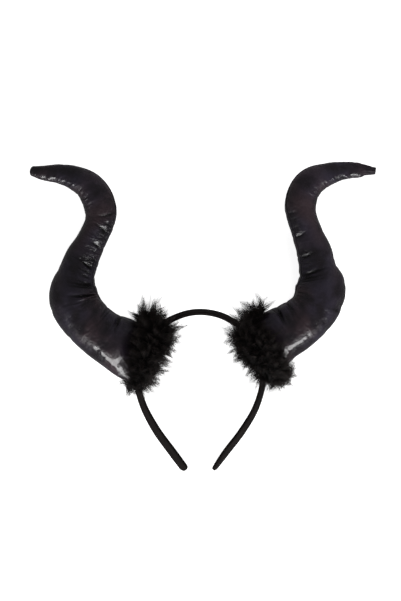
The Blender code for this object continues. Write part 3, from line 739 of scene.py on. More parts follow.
@dataclass
class StuffedHorn:
    """A stuffed two-panel horn of coated cloth: sections, folds, seams and creases."""

    side: Side
    reach: float
    sections: tuple
    folds: tuple
    seam_places: tuple
    pucker_rows: tuple
    band: Headband
    rise: float = 0.1655
    width: float = 0.0548
    depth: float = 0.0415
    fold_depth: float = 0.0026
    pitch: float = 0.0014
    points_round: int = 80
    tip_round: float = 0.0030
    tip_dent: float = 0.0003
    pleats_from: float = 0.94
    clearance: float = 0.00035
    seed: int = 5
    fold_sharpness: float = 0.6
    fold_share: float = 0.75
    crease_sharpness: float = 0.36
    crease_share: float = 0.60
    edge_keep: float = 0.35
    pressure: float = 4.0
    tight_ease: float = 0.004
    loose_ease: float = 0.045
    cap: float = 0.0018
    frames: int = 20
    held_near: float = 0.10
    held_share: float = 0.9
    held_ends: tuple = (0.06, 0.93)
    gathers: Gathers = Gathers()
    fold_start: float = 0.25
    fold_rise: float = 2.5
    fold_turn: float = 1.57
    fold_fade: float = 0.7
    groove_depth: float = 0.75 * MILLIMETRE
    groove_width: float = 0.55 * MILLIMETRE
    edge_height: float = 0.38 * MILLIMETRE
    edge_place: float = 1.3 * MILLIMETRE
    edge_width: float = 0.7 * MILLIMETRE
    crowding: float = 0.28
    round_rings: tuple = (0.35, 0.62, 0.82, 0.94)
    dent_rings: tuple = (0.86, 0.5)
    least_gathering: float = 0.16
    gathering_reach: float = 1.5
    gathering_fade: float = 1.2
    seat_reach: float = 0.05
    band_reach: float = 0.032
    end_fade: float = 40.0
    pleat_fade: float = 60.0
    tied_fade: float = 80.0
    pleat_depth: float = 0.14 * MILLIMETRE
    pleat_count: float = 11.0
    # Depths at which the painted shade in the folds and in the gathers' valleys is full.
    crease_shade_depth: float = 0.9 * MILLIMETRE
    gather_shade_depth: float = 0.8 * MILLIMETRE
    length: float = field(init=False)
    places: np.ndarray = field(init=False)
    stations: np.ndarray = field(init=False)
    shares: np.ndarray = field(init=False)
    rows_along: np.ndarray = field(init=False)

    def __post_init__(self) -> None:
        """Read the sections along a smooth middle line."""
        rows = np.array([(s.out, s.up, s.wide, s.deep, s.lift) for s in self.sections])
        scale = np.array([self.side.value * self.reach, self.rise, self.width, self.depth, self.depth])
        self.stations = rounded_curve(rows * scale, self.pitch)
        root = self.band.root(self.side)
        self.places = np.column_stack([
            root[0] + self.stations[:, 0], root[1] + self.stations[:, 1], self.stations[:, 4],
        ])
        steps = np.linalg.norm(np.diff(self.places, axis=0), axis=1)
        run = np.concatenate([[0.0], np.cumsum(steps)])
        self.length = run[-1]
        self.shares = run / self.length

    def inner(self) -> np.ndarray:
        """Directions across the horn towards its inner edge, one for each station."""
        along = directions(self.places)
        return unit(np.column_stack([along[:, 1], -along[:, 0], np.zeros(len(along))])) * -self.side.value

    def seam_turn(self, shares: np.ndarray) -> np.ndarray:
        """Angle in radians of the inner seam from the inner edge, at shares of the length."""
        known = [place.along for place in self.seam_places]
        turns = [place.turn for place in self.seam_places]
        return np.radians(np.interp(shares, known, turns))

    def from_seam(self, seam: Seam, shares: np.ndarray, angles: np.ndarray) -> np.ndarray:
        """Signed angle in radians from a seam, positive towards the front on the inner one."""
        turn = self.seam_turn(shares)
        base = turn if seam is Seam.INNER else turn + math.pi
        return (angles - base + math.pi) % (2 * math.pi) - math.pi

    def sink(self, shares: np.ndarray, angles: np.ndarray, sharpness: float, depth: float) -> np.ndarray:
        """Depth of the large folds at places on the horn.

        Args:
            shares: Shares of the length.
            angles: Angles round the horn from the inner edge, in radians.
            sharpness: Width of the folds, share of their spread.
            depth: Their depth, share of the fold depth.

        Returns:
            The depth at each place.
        """
        total = np.zeros(np.broadcast(shares, angles).shape)
        for fold in self.folds:
            away = np.degrees(np.abs(self.from_seam(fold.seam, shares, angles)))
            run = np.minimum(away / fold.reach, 1.0)
            offset = (shares - fold.along - fold.slant * run) / (fold.spread * sharpness)
            near = np.sin(np.minimum(run * self.fold_rise, 1.0) * self.fold_turn)
            fade = np.cos(run * math.pi / 2) ** self.fold_fade
            fade *= self.fold_start + (1.0 - self.fold_start) * near
            total += fold.sink * self.fold_depth * depth * np.exp(-offset * offset) * fade
        return total * (self.edge_keep + (1.0 - self.edge_keep) * np.abs(np.sin(angles)))

    def puckers(self, shares: np.ndarray, angles: np.ndarray) -> np.ndarray:
        """Height of the small gathers that the seams' stitches draw.

        Args:
            shares: Shares of the length.
            angles: Angles round the horn, in radians.

        Returns:
            Height at each place, crests above zero and creases below.
        """
        rng = np.random.default_rng(self.seed)
        total = np.zeros(shares.shape)
        kind = self.gathers
        for seam, count in zip(Seam, kind.counts):
            away = self.from_seam(seam, shares, angles)
            spots = (np.arange(count) + rng.uniform(-kind.jitter, kind.jitter, count)) / count
            for spot, strength in zip(spots, self.pucker_strength(seam, spots)):
                reach = rng.uniform(*kind.reach)
                depth = rng.uniform(*kind.depth) * MILLIMETRE * strength
                spread = rng.uniform(*kind.spread)
                slant = rng.uniform(-kind.slant, kind.slant)
                way = rng.choice((-1.0, 1.0), p=(1.0 - kind.crests, kind.crests))
                run = np.clip(np.abs(away) / reach, 0.0, 1.0)
                lean = np.where(away > 0, slant, -slant)
                offset = np.abs(shares - spot - lean * run) / spread
                rise = np.where(offset < kind.cut, np.exp(-offset ** kind.sharpness), 0.0)
                total += way * depth * rise * (1.0 - run ** 2) * np.clip(np.abs(away) * kind.rise, 0.0, 1.0)
        fade, least = kind.outline
        return total * np.clip(np.abs(np.sin(angles)) * fade, least, 1.0)

    def pucker_strength(self, seam: Seam, shares: np.ndarray) -> np.ndarray:
        """Strength of a seam's gathers at shares of the length."""
        column = 1 if seam is Seam.INNER else 2
        rows = np.array(self.pucker_rows)
        return np.interp(shares, rows[:, 0], rows[:, column])

    def seam_shape(self, shares: np.ndarray, angles: np.ndarray, half_girth: np.ndarray) -> np.ndarray:
        """Height of the two stitched seams: a groove with a narrow turned edge beside it."""
        total = np.zeros(shares.shape)
        for seam in Seam:
            away = self.from_seam(seam, shares, angles) * half_girth
            groove = self.groove_depth * np.exp(-(away / self.groove_width) ** 2)
            edge = self.edge_height * np.exp(-((away + self.edge_place) / self.edge_width) ** 2)
            total += edge - groove
        return total

    def angles(self) -> np.ndarray:
        """Angles of the points round a section, closer together near the seams."""
        even = np.linspace(0.0, 2 * math.pi, self.points_round, endpoint=False)
        return even - self.crowding * np.sin(2 * even) / 2

    def lofted(self) -> bpy.types.Object:
        """Loft the horn with its large folds, before it is filled."""
        angles = self.angles()[None, :]
        shares = self.shares[:, None]
        sink = self.sink(shares, angles, self.fold_sharpness, self.fold_share)
        wide = self.stations[:, 2][:, None] / 2 - sink
        deep = self.stations[:, 3][:, None] / 2 - sink
        inner = self.inner()[:, None, :]
        points = (self.places[:, None, :] + inner * (wide * np.cos(angles))[:, :, None]
                  + UP * (deep * np.sin(angles))[:, :, None])
        along = directions(self.places)
        middle = self.places[-1]
        if self.side is Side.LEFT:
            rings = [middle + (points[-1] - middle) * math.sqrt(1.0 - s * s) + along[-1] * s * self.tip_round
                     for s in self.round_rings]
            tip = middle + along[-1] * self.tip_round
            extra = [self.shares[-1] + s * self.tip_round / self.length for s in self.round_rings]
        else:
            rings = [middle + (points[-1] - middle) * s - along[-1] * self.tip_dent * (1 - s) * 1.5
                     for s in self.dent_rings]
            tip = middle - along[-1] * self.tip_dent
            extra = [1.0] * len(self.dent_rings)
        points = np.concatenate([points, np.array(rings)])
        self.rows_along = np.concatenate([self.shares, extra])
        points[:, :, 2] = np.maximum(points[:, :, 2], FLOOR_GAP)
        girth = (self.stations[:, 2] + self.stations[:, 3]) / 4
        girth = np.interp(self.rows_along, self.shares, girth)
        full = np.concatenate([self.angles(), [2 * math.pi]])
        uv = np.stack([
            np.broadcast_to((self.rows_along * self.length)[:, None], (len(points), len(full))),
            full[None, :] * girth[:, None],
        ], axis=-1)
        item = grid_mesh(f"horn_{self.side.label}_cloth", points, uv,
                         (points[0].mean(axis=0), tip))
        grid = np.broadcast_to(self.rows_along[:, None], points.shape[:2]).ravel()
        turn = np.broadcast_to(self.angles()[None, :], points.shape[:2])
        ends = [[0.0], [self.rows_along[-1]]]
        store_values(item.data, "along", np.concatenate([grid, *ends]))
        store_values(item.data, "turn_cos", np.concatenate([np.cos(turn).ravel(), [0.0], [0.0]]))
        store_values(item.data, "turn_sin", np.concatenate([np.sin(turn).ravel(), [0.0], [0.0]]))
        return item

    def gathering(self, shares: np.ndarray, angles: np.ndarray) -> np.ndarray:
        """How much the cloth is drawn together at places on the horn, from 0 to 1."""
        total = np.full(shares.shape, self.least_gathering)
        for seam in Seam:
            away = np.abs(self.from_seam(seam, shares, angles))
            near = np.clip(1.0 - away / self.gathering_reach, 0.0, 1.0)
            total += near ** self.gathering_fade * self.pucker_strength(seam, shares)
        return np.clip(total, 0.0, 1.0)

    def inflate(self, item: bpy.types.Object) -> None:
        """Fill the horn: cloth a little too large for it, blown up from inside.

        Args:
            item: The lofted horn, which keeps its vertices and map.
        """
        start = vertex_places(item.data)
        along = read_values(item.data, "along")
        cos, sin = read_values(item.data, "turn_cos"), read_values(item.data, "turn_sin")
        angles = np.arctan2(sin, cos)
        seam = np.minimum(*(np.abs(self.from_seam(seam, along, angles)) for seam in Seam))
        held = np.clip(1.0 - seam / self.held_near, 0.0, 1.0) * self.held_share
        root, tip = self.held_ends
        held = np.where((along < root) | (along > tip), 1.0, held)
        for name, weights in (("held", held), ("loose", self.gathering(along, angles))):
            group = item.vertex_groups.new(name=name)
            for index in np.flatnonzero(weights > 0.0):
                group.add([int(index)], float(weights[index]), "REPLACE")
        cloth = item.modifiers.new("filling", "CLOTH")
        settings = cloth.settings
        for name, value in FILLING.items():
            setattr(settings, name, value)
        settings.uniform_pressure_force = self.pressure
        settings.shrink_min = -self.tight_ease
        settings.shrink_max = -self.loose_ease
        settings.vertex_group_shrink = "loose"
        settings.vertex_group_mass = "held"
        settings.effector_weights.gravity = 0.0
        cloth.collision_settings.use_collision = False
        cloth.collision_settings.use_self_collision = False
        cloth.point_cache.frame_start = 1
        cloth.point_cache.frame_end = self.frames
        scene = bpy.context.scene
        for number in range(1, self.frames + 1):
            scene.frame_set(number)
        graph = bpy.context.evaluated_depsgraph_get()
        shown = item.evaluated_get(graph)
        moved = vertex_places(shown.data)
        item.modifiers.clear()
        item.vertex_groups.clear()
        scene.frame_set(1)
        travel = moved - start
        far = np.linalg.norm(travel, axis=1, keepdims=True)
        travel *= np.minimum(1.0, self.cap / np.maximum(far, 1e-9))
        LOG.info("%s moved up to %.1f mm as it filled", item.name, far.max() * 1000)
        set_places(item.data, start + travel)

    def press_on_band(self, places: np.ndarray) -> np.ndarray:
        """Push what would pass the band's outer face back to it, which forms the seat."""
        middle = self.band.places
        apart = np.linalg.norm(places[:, :2] - self.band.root(self.side)[:2], axis=1)
        close = np.flatnonzero(apart < self.seat_reach)
        spots = places[close]
        gaps = np.linalg.norm(spots[:, None, :] - middle[None, :, :], axis=2)
        nearest = gaps.argmin(axis=1)
        outward = self.band.thin[nearest]
        height = np.sum((spots - middle[nearest]) * outward, axis=1)
        least = self.band.thickness / 2 + self.clearance
        push = np.where(gaps.min(axis=1) < self.band_reach, np.maximum(least - height, 0.0), 0.0)
        places[close] = spots + outward * push[:, None]
        return places

    def refine(self, item: bpy.types.Object) -> None:
        """Subdivide the horn, draw its small gathers, seams and pleats, and keep a mask of painted shade for
        its folds and the gathers' valleys.
        """
        smooth = item.modifiers.new("smooth", "SUBSURF")
        smooth.levels = 1
        smooth.render_levels = 1
        graph = bpy.context.evaluated_depsgraph_get()
        fine = bpy.data.meshes.new_from_object(item.evaluated_get(graph), depsgraph=graph)
        item.modifiers.clear()
        item.data = fine
        fine.name = item.name
        along = read_values(fine, "along")
        cos, sin = read_values(fine, "turn_cos"), read_values(fine, "turn_sin")
        angles = np.arctan2(sin, cos)
        known = self.shares
        half_girth = np.interp(along, known, (self.stations[:, 2] + self.stations[:, 3]) / 4)
        middle = np.clip(np.minimum(along, 1.0 - along) * self.end_fade, 0.0, 1.0)
        gathers = self.puckers(along, angles) * middle
        creases = self.sink(along, angles, self.crease_sharpness, self.crease_share) * middle
        height = gathers - creases + self.seam_shape(along, angles, half_girth) * middle
        if self.side is Side.RIGHT:
            pleated = np.clip((along - self.pleats_from) * self.pleat_fade, 0.0, 1.0)
            height += pleated * self.pleat_depth * np.cos(angles * self.pleat_count)
        places = vertex_places(fine) + vertex_normals(fine) * height[:, None]
        places = self.press_on_band(places)
        places[:, 2] = np.maximum(places[:, 2], FLOOR_GAP)
        set_places(fine, places)
        store_values(fine, "creasing", self.gathering(along, angles))
        tied = np.clip((along - self.pleats_from) * self.tied_fade, 0.0, 1.0) * (self.side is Side.RIGHT)
        store_values(fine, "tied", tied)
        # Painted shade: a mask that darkens the cloth and dulls its coat in the folds and the gathers'
        # valleys.
        depth = np.maximum(creases / self.crease_shade_depth, -gathers / self.gather_shade_depth)
        store_values(fine, "hollow", np.clip(depth, 0.0, 1.0))
        fine.shade_smooth()

    def build(self, finish: CoatedCloth) -> bpy.types.Object:
        """Make the horn and dress it.

        Args:
            finish: The horn's cloth.

        Returns:
            The finished horn, riding on the frame.
        """
        item = self.lofted()
        self.inflate(item)
        self.refine(item)
        item.data.materials.clear()
        item.data.materials.append(finish)
        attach(item, BODY)
        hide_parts(f"horn_{self.side.label}")
        return item


STRAND_SOCKETS = (
    ("Geometry", "INPUT", "NodeSocketGeometry", None),
    *((label, "INPUT", "NodeSocketFloat", value) for label, value in (
        ("Density", 100.0), ("Thickness", 0.00012), ("Tuft Size", 0.007), ("Tuft Pull", 0.6),
        ("Ruffle", 0.5), ("Spread", 0.3), ("Frizz", 0.002),
    )),
    ("Seed", "INPUT", "NodeSocketInt", 1),
    ("Material", "INPUT", "NodeSocketMaterial", None),
    ("Geometry", "OUTPUT", "NodeSocketGeometry", None),
)
SHORTEST_REACH = 0.0015
SHORTEST_STRAND = 0.0012
STRAND_POINTS = 4
STRAND_SIDES = 3
MIDDLE = (0.5, 0.5, 0.5)
MOOD_SCALE = 900.0
TUFT_SCALE = 700.0
CURL_SCALE = 170.0
BEND_SHARE = 0.45
TIP_NARROWING = 0.8


def strand_end(build: Nodes, inside: object, spot: object) -> tuple:
    """Add the nodes that aim each strand at the end of its tuft.

    Args:
        build: The tree to add to.
        inside: The group's inputs.
        spot: Where the strand starts.

    Returns:
        The strand's length and its far end.
    """
    scale = build.math("DIVIDE", 1.0, inside["Tuft Size"])
    cell = build.add("ShaderNodeTexVoronoi", {"Vector": spot, "Scale": scale}).outputs["Position"]
    tuft_way, tuft_reach = (
        build.add("GeometryNodeSampleNearestSurface", {
            "Mesh": inside["Geometry"], "Value": build.named(label, kind), "Sample Position": cell,
        }, data_type=kind).outputs[0]
        for label, kind in (("way", "FLOAT_VECTOR"), ("reach", "FLOAT"))
    )
    mood = build.noise(cell, MOOD_SCALE, 0.0)[1]
    lean = build.scaled(build.vector("SUBTRACT", mood, MIDDLE), build.math("MULTIPLY", inside["Ruffle"], 4.0))
    aim = build.vector("NORMALIZE", build.vector("ADD", tuft_way, lean))
    tuft_vary = build.noise(cell, TUFT_SCALE, 0.0)[0]
    size = build.math("MULTIPLY", tuft_reach, build.ramp(tuft_vary, 0.35, 0.65, 0.65, 1.15))
    seed_on = build.math("ADD", inside["Seed"], 11.0)
    vary = build.add("FunctionNodeRandomValue", {2: 0.35, 3: 1.05, "Seed": seed_on}, data_type="FLOAT")
    length = build.math("MULTIPLY", size, vary.outputs[1])
    stray = build.add("FunctionNodeRandomValue", {
        "Min": (-1.0, -1.0, -1.0), "Max": (1.0, 1.0, 1.0), "Seed": inside["Seed"],
    }, data_type="FLOAT_VECTOR").outputs[0]
    stray = build.scaled(stray, build.math("MULTIPLY", inside["Spread"], length))
    tuft_end, own_end = (build.vector("ADD", start, build.scaled(aim, length)) for start in (cell, spot))
    toward = build.vector("SUBTRACT", tuft_end, own_end)
    pulled = build.vector("ADD", own_end, build.scaled(toward, inside["Tuft Pull"]))
    return length, build.vector("ADD", pulled, stray)


def strand_tubes(build: Nodes, inside: object, keep: object) -> bpy.types.NodeSocket:
    """Add the nodes that draw a curled, narrowing tube from each kept point.

    Args:
        build: The tree to add to.
        inside: The group's inputs.
        keep: Points with the strand's root, bend, far end and number.

    Returns:
        The tubes.
    """
    copies = build.add("GeometryNodeDuplicateElements", {"Geometry": keep, "Amount": STRAND_POINTS},
                       domain="POINT")
    run = build.math("DIVIDE", copies.outputs["Duplicate Index"], STRAND_POINTS - 1.0)
    rest = build.math("SUBTRACT", 1.0, run)
    bend_share = build.math("MULTIPLY", build.math("MULTIPLY", run, rest), 2.0)
    path = build.scaled(build.named("root", "FLOAT_VECTOR"), build.math("MULTIPLY", rest, rest))
    for label, share in (("bend", bend_share), ("far", build.math("MULTIPLY", run, run))):
        path = build.vector("ADD", path, build.scaled(build.named(label, "FLOAT_VECTOR"), share))
    curl = build.vector("SUBTRACT", build.noise(path, CURL_SCALE, 1.0)[1], MIDDLE)
    curl = build.scaled(curl, build.math("MULTIPLY", inside["Frizz"], run))
    moved = build.add("GeometryNodeSetPosition", {
        "Geometry": copies.outputs["Geometry"], "Position": build.vector("ADD", path, curl)}).outputs[0]
    marked = build.add("GeometryNodeStoreNamedAttribute", {
        "Geometry": moved, "Name": "run", "Value": run}, data_type="FLOAT", domain="POINT").outputs[0]
    curves = build.add("GeometryNodePointsToCurves", {
        0: marked, "Curve Group ID": build.named("strand", "INT"), "Weight": build.named("run", "FLOAT"),
    }).outputs[0]
    narrowing = build.math("MULTIPLY", build.named("run", "FLOAT"), TIP_NARROWING)
    taper = build.math("MULTIPLY", inside["Thickness"], build.math("SUBTRACT", 1.0, narrowing))
    curves = build.add("GeometryNodeSetCurveRadius", {"Curve": curves, "Radius": taper}).outputs[0]
    profile = build.add("GeometryNodeCurvePrimitiveCircle", {"Resolution": STRAND_SIDES, "Radius": 1.0},
                        mode="RADIUS").outputs[0]
    tube = build.add("GeometryNodeCurveToMesh", {
        "Curve": curves, "Profile Curve": profile, "Fill Caps": True})
    if "Scale" in tube.inputs:
        build.feed(tube.inputs["Scale"], taper)
    return build.add("GeometryNodeRealizeInstances", {"Geometry": tube.outputs[0]}).outputs[0]


def fill_strands(build: Nodes) -> None:
    """Add the nodes that grow tufted strands from a mesh."""
    inside = build.add("NodeGroupInput").outputs
    worth = build.math("GREATER_THAN", build.named("reach", "FLOAT"), SHORTEST_REACH)
    keep = build.add("GeometryNodeDistributePointsOnFaces", {
        "Mesh": inside["Geometry"], "Density": build.math("MULTIPLY", inside["Density"], worth),
        "Seed": inside["Seed"],
    }).outputs["Points"]
    spot = build.add("GeometryNodeInputPosition").outputs[0]
    length, far = strand_end(build, inside, spot)
    own_way = build.named("way", "FLOAT_VECTOR")
    bend = build.vector("ADD", spot, build.scaled(own_way, build.math("MULTIPLY", length, BEND_SHARE)))
    kept = (
        ("root", "FLOAT_VECTOR", spot), ("bend", "FLOAT_VECTOR", bend), ("far", "FLOAT_VECTOR", far),
        ("size", "FLOAT", length), ("strand", "INT", build.add("GeometryNodeInputIndex").outputs[0]),
    )
    for label, kind, value in kept:
        keep = build.add("GeometryNodeStoreNamedAttribute", {
            "Geometry": keep, "Name": label, "Value": value}, data_type=kind, domain="POINT").outputs[0]
    too_short = build.add("FunctionNodeCompare", {0: build.named("size", "FLOAT"), 1: SHORTEST_STRAND},
                          data_type="FLOAT", operation="LESS_THAN").outputs[0]
    keep = build.add("GeometryNodeDeleteGeometry", {0: keep, "Selection": too_short}).outputs[0]
    tubes = strand_tubes(build, inside, keep)
    dressed = build.add("GeometryNodeSetMaterial", {"Geometry": tubes, "Material": inside["Material"]})
    build.add("NodeGroupOutput", {"Geometry": dressed.outputs[0]})


STRAND_LOOKS = {
    "Thickness": (0.00017, -0.00004),
    "Tuft Size": (0.0056, -0.0012),
    "Tuft Pull": (0.80, -0.34),
    "Ruffle": (0.50, 0.20),
    "Spread": (0.06, 0.05),
    "Frizz": (0.0034, 0.0),
}


@dataclass
class FluffTrim:
    """A fluffy trim: a soft core round a horn's base, covered with fine strands in tufts."""

    horn: StuffedHorn
    core_rows: tuple
    bulk: dict
    reach: dict
    comb: tuple
    least_radius: float = 0.0008
    margin: float = 0.0006
    skin: float = 0.0040
    stations: int = 96
    sides: int = 24
    strands: int = 8300
    layers: int = 2
    seed: int = 21
    wave_along: float = 1.9
    wave_around: float = 3.0
    wave_share: float = 0.12
    low_height: float = 0.006
    map_pitch: float = 0.002
    length_steps: int = 12

    def frame(self) -> tuple[np.ndarray, np.ndarray, np.ndarray]:
        """Middle of the seat, the way out along the horn and the way across it."""
        horn = self.horn
        root = horn.band.root(horn.side)
        first, second, third = (
            np.array([
                root[0] + s.out * horn.side.value * horn.reach, root[1] + s.up * horn.rise,
                s.lift * horn.depth,
            ]) for s in horn.sections[:3]
        )
        out = unit(np.array([third[0] - first[0], third[1] - first[1], 0.0]))
        across = np.array([out[1], -out[0], 0.0]) * -horn.side.value
        return second, out, across

    def route(self) -> np.ndarray:
        """Closed, smooth route through the knots: place and fullness at each station."""
        base, out, across = self.frame()
        rows = np.array(self.core_rows)
        horn = self.horn
        knots = (base + across * rows[:, :1] * horn.width + out * rows[:, 1:2] * horn.width
                 + UP * rows[:, 2:3] * horn.depth)
        knots = np.column_stack([knots, rows[:, 3]])
        count = len(knots)
        run = np.arange(self.stations) / self.stations * count
        index = run.astype(int)
        step = (run - index)[:, None]
        before, start = knots[(index - 1) % count], knots[index % count]
        end, after = knots[(index + 1) % count], knots[(index + 2) % count]
        return 0.5 * (
            2 * start + (end - before) * step
            + (2 * before - 5 * start + 4 * end - after) * step ** 2
            + (3 * start - before - 3 * end + after) * step ** 3
        )

    def blend(self, ways: np.ndarray, sizes: dict) -> np.ndarray:
        """Size for each way out of the trim, blended from the sizes of its six main ways."""
        _, out, across = self.frame()
        along, side, front = ways @ out, ways @ across, ways[:, 2]
        return (
            along ** 2 * np.where(along > 0, sizes["outside"], sizes["inside"])
            + side ** 2 * np.where(side > 0, sizes["up"], sizes["down"])
            + front ** 2 * np.where(front > 0, sizes["front"], sizes["back"])
        )

    def body(self, obstacles: list[BVHTree]) -> bpy.types.Object:
        """Make the trim's dense body, with the strands' length and way on each vertex.

        Args:
            obstacles: Search trees of the pieces that the fluff keeps clear of.

        Returns:
            The body, a ring that fills the room beside the horn.
        """
        route = self.route()
        fullness = route[:, 3]
        route = route[:, :3]
        centre = route.mean(axis=0)
        along = unit(np.roll(route, -1, axis=0) - np.roll(route, 1, axis=0))
        outward = route - centre
        outward = unit(outward - along * np.sum(outward * along, axis=1, keepdims=True))
        beside = np.cross(along, outward)
        angles = np.linspace(0.0, 2 * math.pi, self.sides, endpoint=False)
        ways = (outward[:, None, :] * np.cos(angles)[:, None] + beside[:, None, :] * np.sin(angles)[:, None])
        wanted = self.blend(ways.reshape(-1, 3), self.bulk).reshape(ways.shape[:2])
        wave = np.arange(self.stations)[:, None] * self.wave_along + angles[None, :] * self.wave_around
        wanted *= fullness[:, None] * (1.0 - self.wave_share + self.wave_share * np.sin(wave))
        free = np.array([
            [self.free_length(Vector(route[row]), Vector(ways[row, side]), wanted[row, side], obstacles)
             for side in range(self.sides)]
            for row in range(self.stations)
        ])
        soft = sum(np.roll(free, (row, side), axis=(0, 1)) for row in (-1, 0, 1) for side in (-1, 0, 1)) / 9
        radius = np.maximum(np.minimum(soft, free), self.least_radius)
        points = route[:, None, :] + ways * radius[:, :, None]
        points[:, :, 2] = np.maximum(points[:, :, 2], FLOOR_GAP)
        full = np.linspace(0.0, 2 * math.pi, self.sides + 1) * self.bulk["front"]
        runs = np.linspace(0.0, 1.0, self.stations + 1) * self.stations * self.map_pitch
        uv = np.stack(np.meshgrid(runs, full, indexing="ij"), axis=-1)
        item = grid_mesh(f"fur_{self.horn.side.label}_body", points, uv, closed_run=True)
        comb = np.array(self.comb)
        spots = vertex_places(item.data)
        flat = unit(vertex_normals(item.data) + ways.reshape(-1, 3) + comb)
        low = (spots[:, 2] < self.low_height) & (flat[:, 2] < 0.0)
        flat[low, 2] = 0.0
        flat = unit(flat)
        lengths = self.blend(flat, self.reach)
        free = np.array([self.free_length(Vector(spot), Vector(way), length, obstacles)
                         for spot, way, length in zip(spots, flat, lengths)])
        store_values(item.data, "way", flat, "FLOAT_VECTOR")
        store_values(item.data, "reach", np.maximum(free, 0.0))
        store_values(item.data, "run", np.zeros(len(spots)))
        return item

    def free_length(self, spot: Vector, way: Vector, wanted: float, obstacles: list[BVHTree]) -> float:
        """Length that a strand can have before it meets a neighbour or the floor."""
        for step in range(1, self.length_steps + 1):
            point = spot + way * (wanted * step / self.length_steps)
            clear = wanted * (step - 1) / self.length_steps
            if point.z < self.margin:
                return clear
            for tree in obstacles:
                place, normal, _, gap = tree.find_nearest(point)
                behind = (point - place).dot(normal) < 0.0
                if gap < self.margin or (behind and gap < self.skin):
                    return clear
        return wanted

    def grow(self, core: bpy.types.Object, layer: int, material: bpy.types.Material) -> bpy.types.Object:
        """Grow one layer of strands out of the core.

        Args:
            core: The tube that the strands start from.
            layer: Number of the layer, which sets its seed and its looseness.
            material: The fluff.

        Returns:
            A plain mesh of strands.
        """
        name = f"fur_{self.horn.side.label}_strands_{layer + 1}"
        grower = placed(name, core.data.copy())
        reach = read_values(core.data, "reach")
        area = sum(polygon.area for polygon in core.data.polygons
                   if reach[list(polygon.vertices)].mean() > SHORTEST_REACH)
        tree = node_group("tufted_strands", "GeometryNodeTree", STRAND_SOCKETS, fill_strands)
        modifier = grower.modifiers.new("strands", "NODES")
        modifier.node_group = tree
        loose = layer / max(self.layers - 1, 1)
        values = {name: start + change * loose for name, (start, change) in STRAND_LOOKS.items()}
        values |= {"Density": self.strands / area, "Seed": self.seed + layer, "Material": material}
        for socket in tree.interface.items_tree:
            if socket.item_type == "SOCKET" and socket.in_out == "INPUT" and socket.name in values:
                modifier[socket.identifier] = values[socket.name]
        graph = bpy.context.evaluated_depsgraph_get()
        data = bpy.data.meshes.new_from_object(grower.evaluated_get(graph), depsgraph=graph)
        grower.modifiers.clear()
        grower.data = data
        data.name = name
        places = vertex_places(data)
        places[:, 2] = np.maximum(places[:, 2], FLOOR_GAP)
        set_places(data, places)
        LOG.info("%s: %d faces", name, len(data.polygons))
        return grower

    def build(self, neighbours: list[bpy.types.Object], material: bpy.types.Material) -> None:
        """Make the core and its layers of strands and put them in the frame.

        Args:
            neighbours: Pieces that the fluff keeps clear of.
            material: The fluff.
        """
        graph = bpy.context.evaluated_depsgraph_get()
        obstacles = [BVHTree.FromObject(item, graph) for item in neighbours]
        core = self.body(obstacles)
        core.data.materials.append(material)
        pieces = [core] + [self.grow(core, layer, material) for layer in range(self.layers)]
        for piece in pieces:
            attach(piece, BODY)
            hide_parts(f"fur_{self.horn.side.label}")


